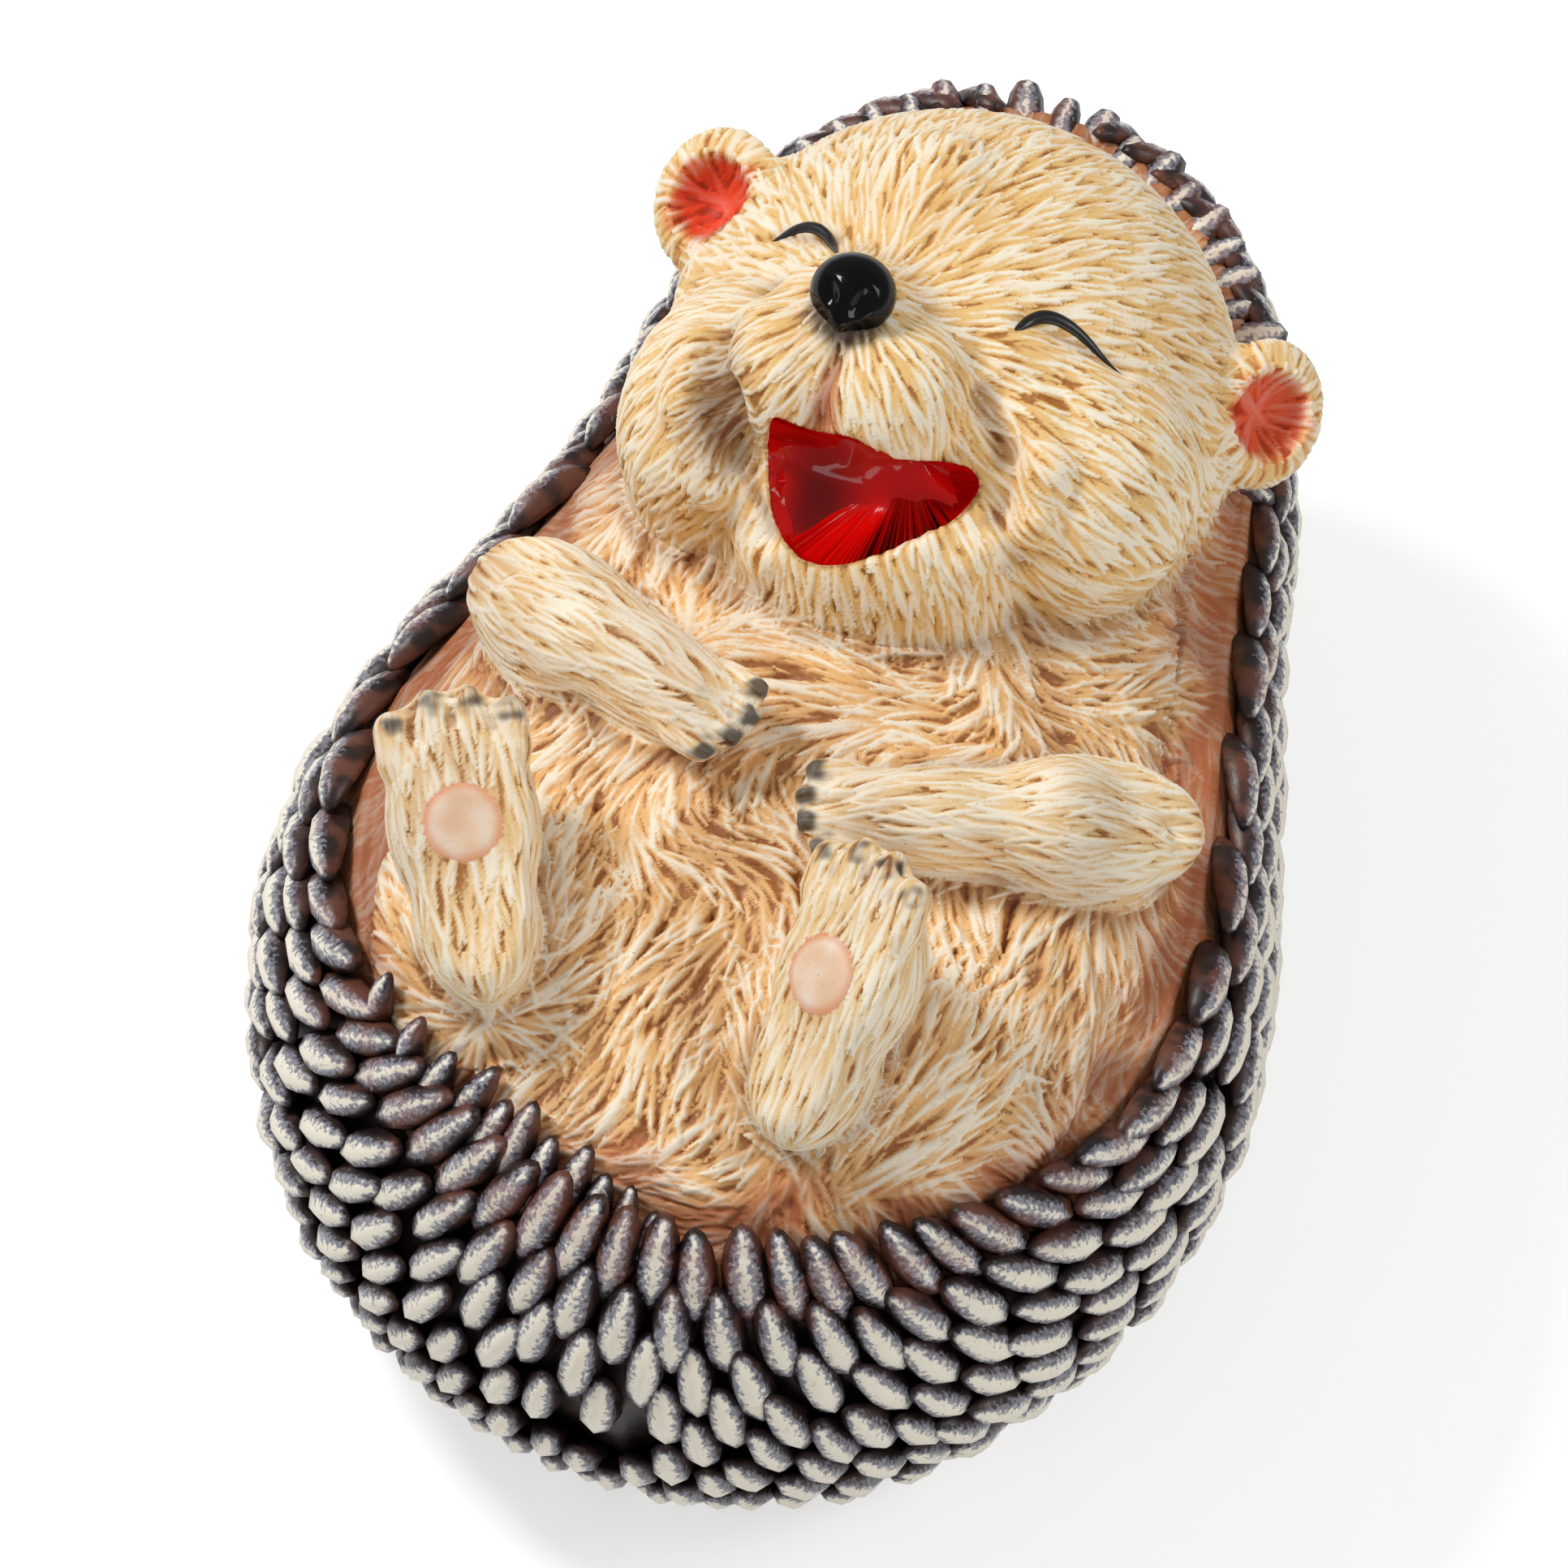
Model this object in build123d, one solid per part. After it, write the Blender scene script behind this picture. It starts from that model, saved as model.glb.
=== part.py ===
from build123d import *
import math
import os

import numpy as np

# Laughing hedgehog figurine, lying on its back on a flat resting face.
# The body frame has X to the animal's side, Y along the body to the crown and Z out of the belly.
# The finished part is reclined from it, with +Z up, +Y towards the head and its origin under its middle.

# The skin that carries the quills: an egg, widest near the rump and drawn in at the neck
COAT_HALF_WIDTH = 62.0
COAT_DEPTH = 52.0
RUMP_REACH = 66.0
CROWN_REACH = 129.0
NECK_SHARE = 0.15
NECK_LEAN = 2.5
WALL = 6.0
SKIN_SIDES = 48
FEWEST_SEATS = 8
HOLLOW_SIDES = 24
RUMP_RINGS = 8
CROWN_RINGS = 12

# The flat rim that the fur of the front sits on, and the flat resting face with its plug
RIM_RISE = 25.0
RIM_TILT = 8.25
RECLINE = 11.0
RESTING_DEPTH = 42.0
PLUG_RADIUS = 14.0
PLUG_RECESS = 0.5
PLUG_STATION_SHARE = -0.06

# Quills: plump almonds with a raised point, set in staggered rows
QUILL_LENGTH = 11.4
QUILL_WIDTH = 4.5
QUILL_THICKNESS = 2.7
QUILL_LIFT = 2.6
QUILL_GAP = 0.15
QUILL_SPACE = 0.3
SEAT_STEP = 0.9
CROWN_QUILL_SHARE = 0.7
QUILL_STATION_SHARES = (-0.5, -0.22, 0.14, 0.5)
QUILL_GIRTH_SHARES = (0.0, 0.9, 1.0, 0.0)

# Regions of quills, as shares of the coat's reach and depth
CROWN_REGION_SHARE = 0.8
NAPE_REGION_SHARE = 0.45
RUMP_REGION_SHARE = 0.45
BACK_REGION_SHARE = 0.45

# The lines of quills start behind the brow and gather again over the belly, as shares of the coat
FLOW_START_SHARES = (0.0, 0.74, 0.58)
FLOW_END_SHARES = (0.0, 0.04, 1.06)

# Soft swellings of the front, as shares of the coat: the middle across and out,
# then the two ends along the body, then the half sizes across and out
BELLY_SHARES = (
    ((0.0, 0.346), (-0.772, 0.427), (0.882, 0.423)),
    ((0.0, 0.192), (0.047, 0.605), (0.758, 0.462)),
    ((0.0, 0.610), (-0.743, 0.180), (0.77, 0.16)),
)
LEFT_HAUNCH_SHARES = ((-0.452, 0.50), (-0.606, 0.030), (0.274, 0.365))
RIGHT_HAUNCH_SHARES = ((0.306, 0.50), (-0.635, 0.015), (0.400, 0.365))

# Head, with its own swellings as shares of its half sizes, measured from its middle
HEAD_HALF_WIDTH = 38.5
HEAD_HALF_LENGTH = 43.0
HEAD_HALF_DEPTH = 33.0
HEAD_PLACE_SHARES = (0.0, 0.605, 0.385)
HEAD_HOLLOW_SHARE = 0.6
SKULL_LENGTH_SHARE = 0.93
BROW_SHARES = ((-0.208, 0.278, 0.758), (0.27, 0.34, 0.235))
JAW_SHARES = ((-0.05, -0.58, 0.39), (0.57, 0.395, 0.50))
LEFT_CHEEK_SHARES = ((-0.64, -0.39, 0.42), (0.38, 0.42, 0.515))
RIGHT_CHEEK_SHARES = ((0.53, -0.27, 0.42), (0.44, 0.42, 0.515))
MUZZLE_SHARES = (
    ((-0.505, -0.36, 0.895), (0.22, 0.245, 0.32)),
    ((-0.115, -0.325, 0.91), (0.285, 0.256, 0.333)),
    ((-0.317, -0.186, 0.91), (0.273, 0.256, 0.348)),
)
NOSE_SHARES = ((-0.306, -0.149, 1.258), (0.148, 0.126, 0.145))

# Mouth: an open laugh, its outline in shares of the half width and of the drop
MOUTH_HALF_WIDTH = 14.2
MOUTH_DROP = 17.0
MOUTH_DEPTH = 11.0
MOUTH_ARCH = 1.6
MOUTH_PLACE_SHARES = (-0.075, -0.485, 0.93)
LIP_SHARES = (
    (1.0, 0.0),
    (1.0, -0.2),
    (0.6, -0.6),
    (0.07, -0.93),
    (-0.32, -1.0),
    (-0.69, -0.76),
    (-0.9, -0.4),
    (-1.0, 0.0),
)
MOUTH_OUT_SHARES = (0.10, -0.42, 0.90)
MOUTH_ALONG_SHARES = (1.0, 0.0, 0.0)
DISH_SHARES = (0.86, 0.44, 0.7)
DISH_DROP_SHARE = 0.48

# Closed eyes: painted lines, each an arc on the face given by its two ends and its top
EYELID_RADIUS = 0.85
LEFT_EYELID_SHARES = ((-0.71, 0.14), (-0.61, 0.18), (-0.45, 0.10))
RIGHT_EYELID_SHARES = ((0.23, -0.01), (0.34, 0.09), (0.61, 0.03))

# Ears: round dishes
EAR_HALF_WIDTH = 8.6
EAR_HALF_LENGTH = 10.0
EAR_HALF_THICKNESS = 4.2
EAR_DISH_SHARES = (0.66, 0.66, 0.9)
EAR_DISH_PLACE_SHARE = 0.95
LEFT_EAR_PLACE_SHARES = (-0.95, 0.32, 0.30)
LEFT_EAR_OUT_SHARES = (-0.25, -0.35, 0.90)
RIGHT_EAR_PLACE_SHARES = (1.05, 0.215, 0.18)
RIGHT_EAR_OUT_SHARES = (0.55, -0.30, 0.78)

# Arms: tapered, folded over the belly, as shares of the coat from the shoulder to the paw
ARM_RADIUS = 11.0
ELBOW_SHARES = (0.31, 0.31, 0.86, 0.92)
WRIST_SHARES = (0.64, 0.36, 0.62, 0.64)
LEFT_ARM_FROM_SHARES = (-0.80, 0.245, 0.60)
LEFT_ARM_TO_SHARES = (-0.155, 0.118, 0.90)
RIGHT_ARM_FROM_SHARES = (0.84, 0.20, 0.60)
RIGHT_ARM_TO_SHARES = (0.075, 0.054, 0.90)
FINGERS = 4
FINGER_RADIUS = 1.8
FINGER_LENGTH = 8.5
FINGER_PITCH = 3.7
FINGER_BACK_SHARE = 0.55

# Feet: flattened eggs with a flat sole, as shares of the coat from the heel to the toes
FOOT_LENGTH = 37.5
FOOT_HALF_WIDTH = 10.0
FOOT_HALF_THICKNESS = 8.5
SOLE_SHARE = 0.62
BALL_SHARES = (0.64, 0.36, 1.0, 1.0)
HEEL_SHARES = (0.33, 0.33, 0.80, 0.96)
LEFT_HEEL_SHARES = (-0.44, -0.479, 0.87)
LEFT_FOOT_ALONG_SHARES = (-0.43, 0.88, 0.21)
LEFT_SOLE_OUT_SHARES = (0.03, -0.22, 0.975)
RIGHT_HEEL_SHARES = (0.235, -0.567, 0.83)
RIGHT_FOOT_ALONG_SHARES = (0.08, 0.89, 0.45)
RIGHT_SOLE_OUT_SHARES = (-0.55, -0.32, 0.77)
TOES = 4
TOE_RADIUS = 2.45
TOE_LENGTH = 9.5
TOE_PITCH = 5.1
TOE_ARCH_SHARE = 0.45
TOE_BACK_SHARE = 0.55
PAD_RADIUS = 4.6
PAD_RISE = 0.9
PAD_ROUND_SHARE = 0.6
PAD_STATION_SHARE = 0.62


def along_body(share):
    """A station along the body: a share of the reach to the crown, or below zero of that to the rump."""
    return share * (CROWN_REACH if share > 0 else RUMP_REACH)


def on_coat(shares):
    """A place given as shares of the coat's half width, its reach and its depth."""
    across, along, out = shares
    return Vector(across * COAT_HALF_WIDTH, along_body(along), out * COAT_DEPTH)


def on_head(shares):
    """A place given as shares of the head's half sizes, from its middle."""
    across, along, out = shares
    return on_coat(HEAD_PLACE_SHARES) + Vector(
        across * HEAD_HALF_WIDTH, along * HEAD_HALF_LENGTH, out * HEAD_HALF_DEPTH
    )


def lean(station):
    """How far the egg's middle line leans to the right at a station along the body."""
    return NECK_LEAN * math.sin(math.pi * max(station, 0.0) / CROWN_REACH) ** 2


def waist(station):
    """Share of its width that the egg keeps at a station along the body: less than one at the neck."""
    return 1.0 - NECK_SHARE * math.sin(math.pi * max(station, 0.0) / CROWN_REACH) ** 2


def half_width(station, inset=0.0):
    """Half width of the egg at a station along the body."""
    reach = (RUMP_REACH if station < 0 else CROWN_REACH) - inset
    share = min(abs(station) / reach, 1.0)
    return (COAT_HALF_WIDTH - inset) * math.sqrt(1.0 - share**2) * waist(station)


def skin_height(point):
    """How far a point near the egg stands out from it."""
    across, station, rise = point
    reach = RUMP_REACH if station < 0 else CROWN_REACH
    halves = np.array([COAT_HALF_WIDTH * waist(station), reach, COAT_DEPTH * waist(station)])
    shares = np.array([across - lean(station), station, rise]) / halves
    return (np.linalg.norm(shares) - 1.0) / np.linalg.norm(shares / halves)


def skin_point(station, turn, inset=0.0):
    """A point of the egg: turn 0 is its right side and a quarter turn is the belly side."""
    radius = half_width(station, inset)
    depth = radius * (COAT_DEPTH - inset) / (COAT_HALF_WIDTH - inset)
    return (radius * math.cos(turn) + lean(station), station, depth * math.sin(turn))


def faceted_egg(inset, sides):
    """The egg as a closed body of flat facets, its poles at the rump and the crown."""
    quarter = math.pi / 2
    rump = [(inset - RUMP_REACH) * math.cos(quarter * i / RUMP_RINGS) for i in range(1, RUMP_RINGS)]
    crown = [(CROWN_REACH - inset) * math.sin(quarter * i / CROWN_RINGS) for i in range(CROWN_RINGS)]
    rings = [
        [skin_point(station, math.tau * k / sides, inset) for k in range(sides)]
        for station in rump + crown
    ]
    first_pole = (0, inset - RUMP_REACH, 0)
    last_pole = (0, CROWN_REACH - inset, 0)
    faces = []
    for k in range(sides):
        j = (k + 1) % sides
        faces.append(Face(Wire.make_polygon([first_pole, rings[0][j], rings[0][k]])))
        faces.append(Face(Wire.make_polygon([last_pole, rings[-1][k], rings[-1][j]])))
        for low, high in zip(rings, rings[1:]):
            faces.append(Face(Wire.make_polygon([low[k], low[j], high[j], high[k]])))
    return Solid(Shell(faces))


def slab(above, rise, tilt):
    """Everything above, or below, a plane at a rise that falls towards the crown by a tilt."""
    size = RUMP_REACH + CROWN_REACH
    side = size / 2 if above else -size / 2
    return Pos(0, 0, rise) * Rot(-tilt, 0, 0) * Pos(0, 0, side) * Box(size * 2, size * 3, size)


def rim_height(station):
    """Height of the rim plane at a station along the body."""
    return RIM_RISE - math.tan(math.radians(RIM_TILT)) * station


def frame(place, out, along):
    """Axes at a place: Z points out, and X points along as nearly as it can."""
    normal = Vector(*out).normalized()
    along = Vector(*along)
    return Plane(origin=place, x_dir=along - normal * along.dot(normal), z_dir=normal).location


def swelling(place, halves):
    """A soft rounded form with the given half sizes."""
    return Pos(*place) * scale(Sphere(1), by=tuple(halves))


def coat_swelling(shares):
    """A swelling placed and sized as shares of the coat."""
    (across, out), ends, (width, depth) = shares
    low, high = [along_body(end) for end in ends]
    middle = Vector(across * COAT_HALF_WIDTH, (low + high) / 2, out * COAT_DEPTH)
    return swelling(middle, (width * COAT_HALF_WIDTH, (high - low) / 2, depth * COAT_DEPTH))


def head_swelling(shares):
    """A swelling placed and sized as shares of the head."""
    place, halves = shares
    return swelling(on_head(place), on_head(halves) - on_coat(HEAD_PLACE_SHARES))


def limb_swelling(sizes, shares):
    """A swelling of a limb along X from its start, placed and sized as shares of the limb's sizes."""
    length, half_width, half_thickness = sizes
    station, reach, width, thickness = shares
    return swelling((station * length, 0, 0), (reach * length, width * half_width, thickness * half_thickness))


def capsule(length, radius):
    """A finger or toe: round at both ends, lying along X from its root."""
    middle = length - radius * 2
    return (
        Pos(length / 2, 0, 0) * Rot(0, 90, 0) * Cylinder(radius, middle)
        + Pos(radius, 0, 0) * Sphere(radius)
        + Pos(length - radius, 0, 0) * Sphere(radius)
    )


def quill_facets(place, along, side, out, size):
    """One quill as a closed almond of flat facets, its root on the skin and its tip raised."""
    low_left, low_right, crest = [], [], []
    half_length = along * (QUILL_LENGTH * size / 2)
    root_rise = QUILL_GAP - skin_height(place - half_length)
    tip_rise = QUILL_GAP + QUILL_LIFT * size - skin_height(place + half_length)
    for station, girth in zip(QUILL_STATION_SHARES, QUILL_GIRTH_SHARES):
        rise = root_rise + (station - QUILL_STATION_SHARES[0]) * (tip_rise - root_rise)
        middle = place + along * (station * QUILL_LENGTH * size) + out * rise
        half = side * (girth * QUILL_WIDTH * size / 2)
        low_left.append(middle + half)
        low_right.append(middle - half)
        crest.append(middle + out * (girth * QUILL_THICKNESS * size))
    root, tip = low_left[0], low_left[-1]
    loops = [[root, low_left[1], low_left[2], tip, low_right[2], low_right[1]]]
    for edge in (low_left, low_right):
        loops += [
            [root, crest[1], edge[1]],
            [edge[1], crest[1], crest[2], edge[2]],
            [edge[2], crest[2], tip],
        ]
    return Solid(Shell([Face(Wire.make_polygon([tuple(p) for p in loop])) for loop in loops]))


def skin_frame(station, turn):
    """Place, direction of the quills and outward direction at a point of the egg."""
    place = np.array(skin_point(station, turn))
    step = COAT_HALF_WIDTH / SKIN_SIDES / SKIN_SIDES
    ahead = np.array(skin_point(station + step, turn)) - np.array(skin_point(station - step, turn))
    around = np.array(skin_point(station, turn + step / COAT_HALF_WIDTH)) - place
    out = np.cross(ahead, around)
    out /= np.linalg.norm(out)
    start = np.array(tuple(on_coat(FLOW_START_SHARES)))
    end = np.array(tuple(on_coat(FLOW_END_SHARES)))
    along = np.cross(out, np.cross(end - start, place - start))
    along /= np.linalg.norm(along)
    return place, along, out


def nesting_table():
    """How far apart two parallel quills lie sideways, for each share of a length that one is ahead."""
    stations = np.linspace(QUILL_STATION_SHARES[0], QUILL_STATION_SHARES[-1], SKIN_SIDES)
    shifts = np.linspace(0.0, 1.0, SKIN_SIDES)
    girth = np.interp(stations, QUILL_STATION_SHARES, QUILL_GIRTH_SHARES)
    widths = [
        max(girth + np.interp(stations - shift, QUILL_STATION_SHARES, QUILL_GIRTH_SHARES, left=0.0))
        for shift in shifts
    ]
    widths[-1] = 0.0
    return shifts, np.array(widths) * QUILL_WIDTH / 2


def quill_seats():
    """Where each quill sits: seats are taken in order from the rim down, wherever a quill has room."""
    tilt = math.radians(RECLINE)
    shifts, widths = nesting_table()
    found = []
    station = SEAT_STEP - RUMP_REACH
    while station < CROWN_REACH - SEAT_STEP:
        size = 1.0 - (1.0 - CROWN_QUILL_SHARE) * max(0.0, station / CROWN_REACH)
        girth = math.tau * half_width(station)
        count = max(FEWEST_SEATS, round(girth / SEAT_STEP))
        for k in range(count):
            place, along, out = skin_frame(station, math.tau * k / count)
            under_rim = rim_height(station) - place[2]
            over_rest = place[1] * math.sin(tilt) + place[2] * math.cos(tilt) + RESTING_DEPTH
            fits = QUILL_WIDTH * size / 2 < under_rim and QUILL_LENGTH * size / 2 < over_rest
            if fits:
                found.append((under_rim, station, size, place, along, out))
        station += SEAT_STEP
    found.sort(key=lambda seat: (round(seat[0] / SEAT_STEP), seat[3][0]))
    taken = []
    places = np.empty((0, 3))
    alongs = np.empty((0, 3))
    sides = np.empty((0, 3))
    for under_rim, station, size, place, along, out in found:
        gap = places - place
        near = (gap**2).sum(axis=1) < (QUILL_LENGTH + QUILL_SPACE) ** 2
        ahead = np.abs((gap[near] * (alongs[near] + along)).sum(axis=1) / 2) / (QUILL_LENGTH + QUILL_SPACE)
        side = np.cross(out, along)
        across = np.abs((gap[near] * (sides[near] + side)).sum(axis=1) / 2)
        room = np.interp(ahead / size, shifts, widths) * size + QUILL_SPACE
        if (across < room).any():
            continue
        taken.append((station, size, place, along, side, out))
        places = np.vstack([places, place])
        alongs = np.vstack([alongs, along])
        sides = np.vstack([sides, side])
    return taken


def biggest(shape):
    """The largest solid of a shape that cuts have divided."""
    return max(shape.solids(), key=lambda solid: solid.volume)


def limb_frame(start, along, out):
    """Axes at the start of a limb: X lies along it, and Z points out as nearly as it can."""
    along = Vector(*along).normalized()
    out = Vector(*out)
    return Plane(origin=start, x_dir=along, z_dir=out - along * out.dot(along)).location


def quill_group(seats):
    """The quills of one region, each its own solid."""
    return Compound([quill_facets(place, along, side, out, size) for _, size, place, along, side, out in seats])


below_rim = slab(False, RIM_RISE, RIM_TILT)
above_rim = slab(True, RIM_RISE, RIM_TILT)
cosine = math.cos(math.radians(RECLINE))
above_rest = slab(True, -RESTING_DEPTH / cosine, RECLINE)
above_floor = slab(True, (WALL - RESTING_DEPTH) / cosine, RECLINE)

# The hollow skin with its flat resting face and the hole that the plug closes
plug_station = PLUG_STATION_SHARE * CROWN_REACH
plug_rise = -RESTING_DEPTH / cosine - math.tan(math.radians(RECLINE)) * plug_station
rest_frame = frame((0, plug_station, plug_rise), (0, math.sin(math.radians(RECLINE)), cosine), (1, 0, 0))
plug_hole = rest_frame * Cylinder(PLUG_RADIUS, WALL * 3)
quill_coat = faceted_egg(0.0, SKIN_SIDES) & below_rim & above_rest
quill_coat -= faceted_egg(WALL, HOLLOW_SIDES) & above_floor
quill_coat -= plug_hole
base_plug = rest_frame * Pos(0, 0, (WALL + PLUG_RECESS) / 2) * Cylinder(PLUG_RADIUS, WALL - PLUG_RECESS)

# The furred front
belly = (Part() + [coat_swelling(form) for form in BELLY_SHARES]) & above_rim
left_haunch = biggest((coat_swelling(LEFT_HAUNCH_SHARES) & above_rim) - belly)
right_haunch = biggest((coat_swelling(RIGHT_HAUNCH_SHARES) & above_rim) - belly)

# The head with its open mouth
skull_halves = (HEAD_HALF_WIDTH, HEAD_HALF_LENGTH * SKULL_LENGTH_SHARE, HEAD_HALF_DEPTH)
skull = swelling(on_coat(HEAD_PLACE_SHARES), skull_halves)
head_forms = (BROW_SHARES, JAW_SHARES, LEFT_CHEEK_SHARES, RIGHT_CHEEK_SHARES)
full_head = skull + [head_swelling(form) for form in head_forms]
mouth_frame = frame(on_head(MOUTH_PLACE_SHARES), MOUTH_OUT_SHARES, MOUTH_ALONG_SHARES)
lip_points = [(x * MOUTH_HALF_WIDTH, y * MOUTH_DROP) for x, y in LIP_SHARES]
upper_lip = ThreePointArc(lip_points[-1], (0, MOUTH_ARCH), lip_points[0])
mouth_face = make_face(upper_lip + Spline(*lip_points))
mouth_space = mouth_frame * Pos(0, 0, -MOUTH_DEPTH) * extrude(mouth_face, MOUTH_DEPTH * 3)
mouth_sizes = (MOUTH_HALF_WIDTH, MOUTH_DROP, MOUTH_DEPTH)
dish_halves = tuple(size * share for size, share in zip(mouth_sizes, DISH_SHARES))
dish = mouth_frame * swelling((0, -MOUTH_DROP * DISH_DROP_SHARE, 0), dish_halves)
head_hollow = swelling(on_coat(HEAD_PLACE_SHARES), Vector(*skull_halves) * HEAD_HOLLOW_SHARE)
head = biggest((full_head & above_rim) - belly - mouth_space - head_hollow)
mouth_lining = biggest((mouth_space & full_head) - belly - dish)
muzzle = Part() + [head_swelling(form) for form in MUZZLE_SHARES]
nose = biggest(head_swelling(NOSE_SHARES) - muzzle - full_head)
muzzle = biggest(muzzle - full_head)

parts = {
    "quill_coat": quill_coat,
    "base_plug": base_plug,
    "belly": belly,
    "left_haunch": left_haunch,
    "right_haunch": right_haunch,
    "head": head,
    "mouth_lining": mouth_lining,
    "muzzle": muzzle,
    "nose": nose,
}

# Eyelid lines: thin rods bent over the face
for side, ends in (("left", LEFT_EYELID_SHARES), ("right", RIGHT_EYELID_SHARES)):
    rises = [math.sqrt(1 - x**2 - y**2) for x, y in ends]
    arc = ThreePointArc(*[on_head((x, y, rise)) for (x, y), rise in zip(ends, rises)])
    rod = sweep(Plane(arc @ 0, z_dir=arc % 0) * Circle(EYELID_RADIUS), arc)
    parts[f"{side}_eyelid_line"] = biggest(rod - full_head)

# Ears
for side, place, out in (
    ("left", LEFT_EAR_PLACE_SHARES, LEFT_EAR_OUT_SHARES),
    ("right", RIGHT_EAR_PLACE_SHARES, RIGHT_EAR_OUT_SHARES),
):
    halves = (EAR_HALF_WIDTH, EAR_HALF_LENGTH, EAR_HALF_THICKNESS)
    bowl = scale(Sphere(1), by=tuple(half * share for half, share in zip(halves, EAR_DISH_SHARES)))
    ear = scale(Sphere(1), by=halves) - Pos(0, 0, EAR_HALF_THICKNESS * EAR_DISH_PLACE_SHARE) * bowl
    parts[f"{side}_ear"] = biggest(frame(on_head(place), out, (1, 0, 0)) * ear - full_head)

# Arms with their fingers, laid over the belly
for side, start, end in (
    ("left", LEFT_ARM_FROM_SHARES, LEFT_ARM_TO_SHARES),
    ("right", RIGHT_ARM_FROM_SHARES, RIGHT_ARM_TO_SHARES),
):
    start, end = on_coat(start), on_coat(end)
    place = limb_frame(start, end - start, (0, 0, 1))
    length = (end - start).length
    sizes = (length, ARM_RADIUS, ARM_RADIUS)
    arm = place * (limb_swelling(sizes, ELBOW_SHARES) + limb_swelling(sizes, WRIST_SHARES))
    fingers = []
    for i in range(FINGERS):
        offset = i - (FINGERS - 1) / 2
        root = length - FINGER_LENGTH * FINGER_BACK_SHARE - FINGER_RADIUS * abs(offset)
        finger = place * Pos(root, offset * FINGER_PITCH, 0) * capsule(FINGER_LENGTH, FINGER_RADIUS)
        fingers.append(biggest(finger - arm - belly))
    parts[f"{side}_arm"] = biggest((arm & above_rim) - belly - full_head - parts[f"{side}_haunch"])
    parts[f"{side}_fingers"] = Compound(fingers)

# Feet with their toes and sole pads
for side, heel, along, out in (
    ("left", LEFT_HEEL_SHARES, LEFT_FOOT_ALONG_SHARES, LEFT_SOLE_OUT_SHARES),
    ("right", RIGHT_HEEL_SHARES, RIGHT_FOOT_ALONG_SHARES, RIGHT_SOLE_OUT_SHARES),
):
    place = limb_frame(on_coat(heel), along, out)
    sole = FOOT_HALF_THICKNESS * SOLE_SHARE
    sizes = (FOOT_LENGTH, FOOT_HALF_WIDTH, FOOT_HALF_THICKNESS)
    foot = limb_swelling(sizes, BALL_SHARES) + limb_swelling(sizes, HEEL_SHARES)
    foot -= Pos(FOOT_LENGTH / 2, 0, sole + FOOT_LENGTH / 2) * Box(FOOT_LENGTH * 2, FOOT_LENGTH, FOOT_LENGTH)
    foot = place * foot
    toes = []
    for i in range(TOES):
        offset = i - (TOES - 1) / 2
        root = FOOT_LENGTH - TOE_LENGTH * TOE_BACK_SHARE - TOE_RADIUS * TOE_ARCH_SHARE * offset**2
        toe = place * Pos(root, offset * TOE_PITCH, sole - TOE_RADIUS) * capsule(TOE_LENGTH, TOE_RADIUS)
        toes.append(biggest(toe - foot))
    pad = Cylinder(PAD_RADIUS, PAD_RISE)
    pad = fillet(pad.edges().group_by(Axis.Z)[-1], PAD_RISE * PAD_ROUND_SHARE)
    pad_place = Pos(FOOT_LENGTH * PAD_STATION_SHARE, 0, sole + PAD_RISE / 2)
    parts[f"{side}_foot"] = biggest(foot - parts[f"{side}_haunch"] - belly - parts[f"{side}_arm"])
    parts[f"{side}_toes"] = Compound(toes)
    parts[f"{side}_sole_pad"] = place * pad_place * pad

# Quills, gathered by region
regions = {name: [] for name in ("crown", "nape", "left_flank", "right_flank", "back", "rump")}
for seat in quill_seats():
    station, place = seat[0], seat[2]
    if station > CROWN_REACH * CROWN_REGION_SHARE:
        name = "crown"
    elif station > CROWN_REACH * NAPE_REGION_SHARE:
        name = "nape"
    elif station < -RUMP_REACH * RUMP_REGION_SHARE:
        name = "rump"
    elif place[2] < -COAT_DEPTH * BACK_REGION_SHARE:
        name = "back"
    elif place[0] < 0:
        name = "left_flank"
    else:
        name = "right_flank"
    regions[name].append(seat)
for name, seats in regions.items():
    parts[f"{name}_quills"] = quill_group(seats)

os.makedirs("parts", exist_ok=True)
recline = Pos(0, 0, RESTING_DEPTH) * Rot(RECLINE, 0, 0)
reclined = {name: recline * shape for name, shape in parts.items()}
box = Compound([solid for shape in reclined.values() for solid in shape.solids()]).bounding_box()
middle = Pos(-(box.min.X + box.max.X) / 2, -(box.min.Y + box.max.Y) / 2, 0)
for name, shape in reclined.items():
    export_step(middle * shape, f"parts/{name}.step")
print("size", box.size, "quills", {name: len(seats) for name, seats in regions.items()})
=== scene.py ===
"""Laughing hedgehog figurine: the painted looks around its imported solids.

Everything is in metres in the part's own frame: +Z up, +Y towards the head.
"""

import logging
import math
from dataclasses import dataclass, field
from enum import Enum

import bmesh
import bpy
import numpy as np
from mathutils import Matrix, Vector
from mathutils.bvhtree import BVHTree
from mathutils.kdtree import KDTree


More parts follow.
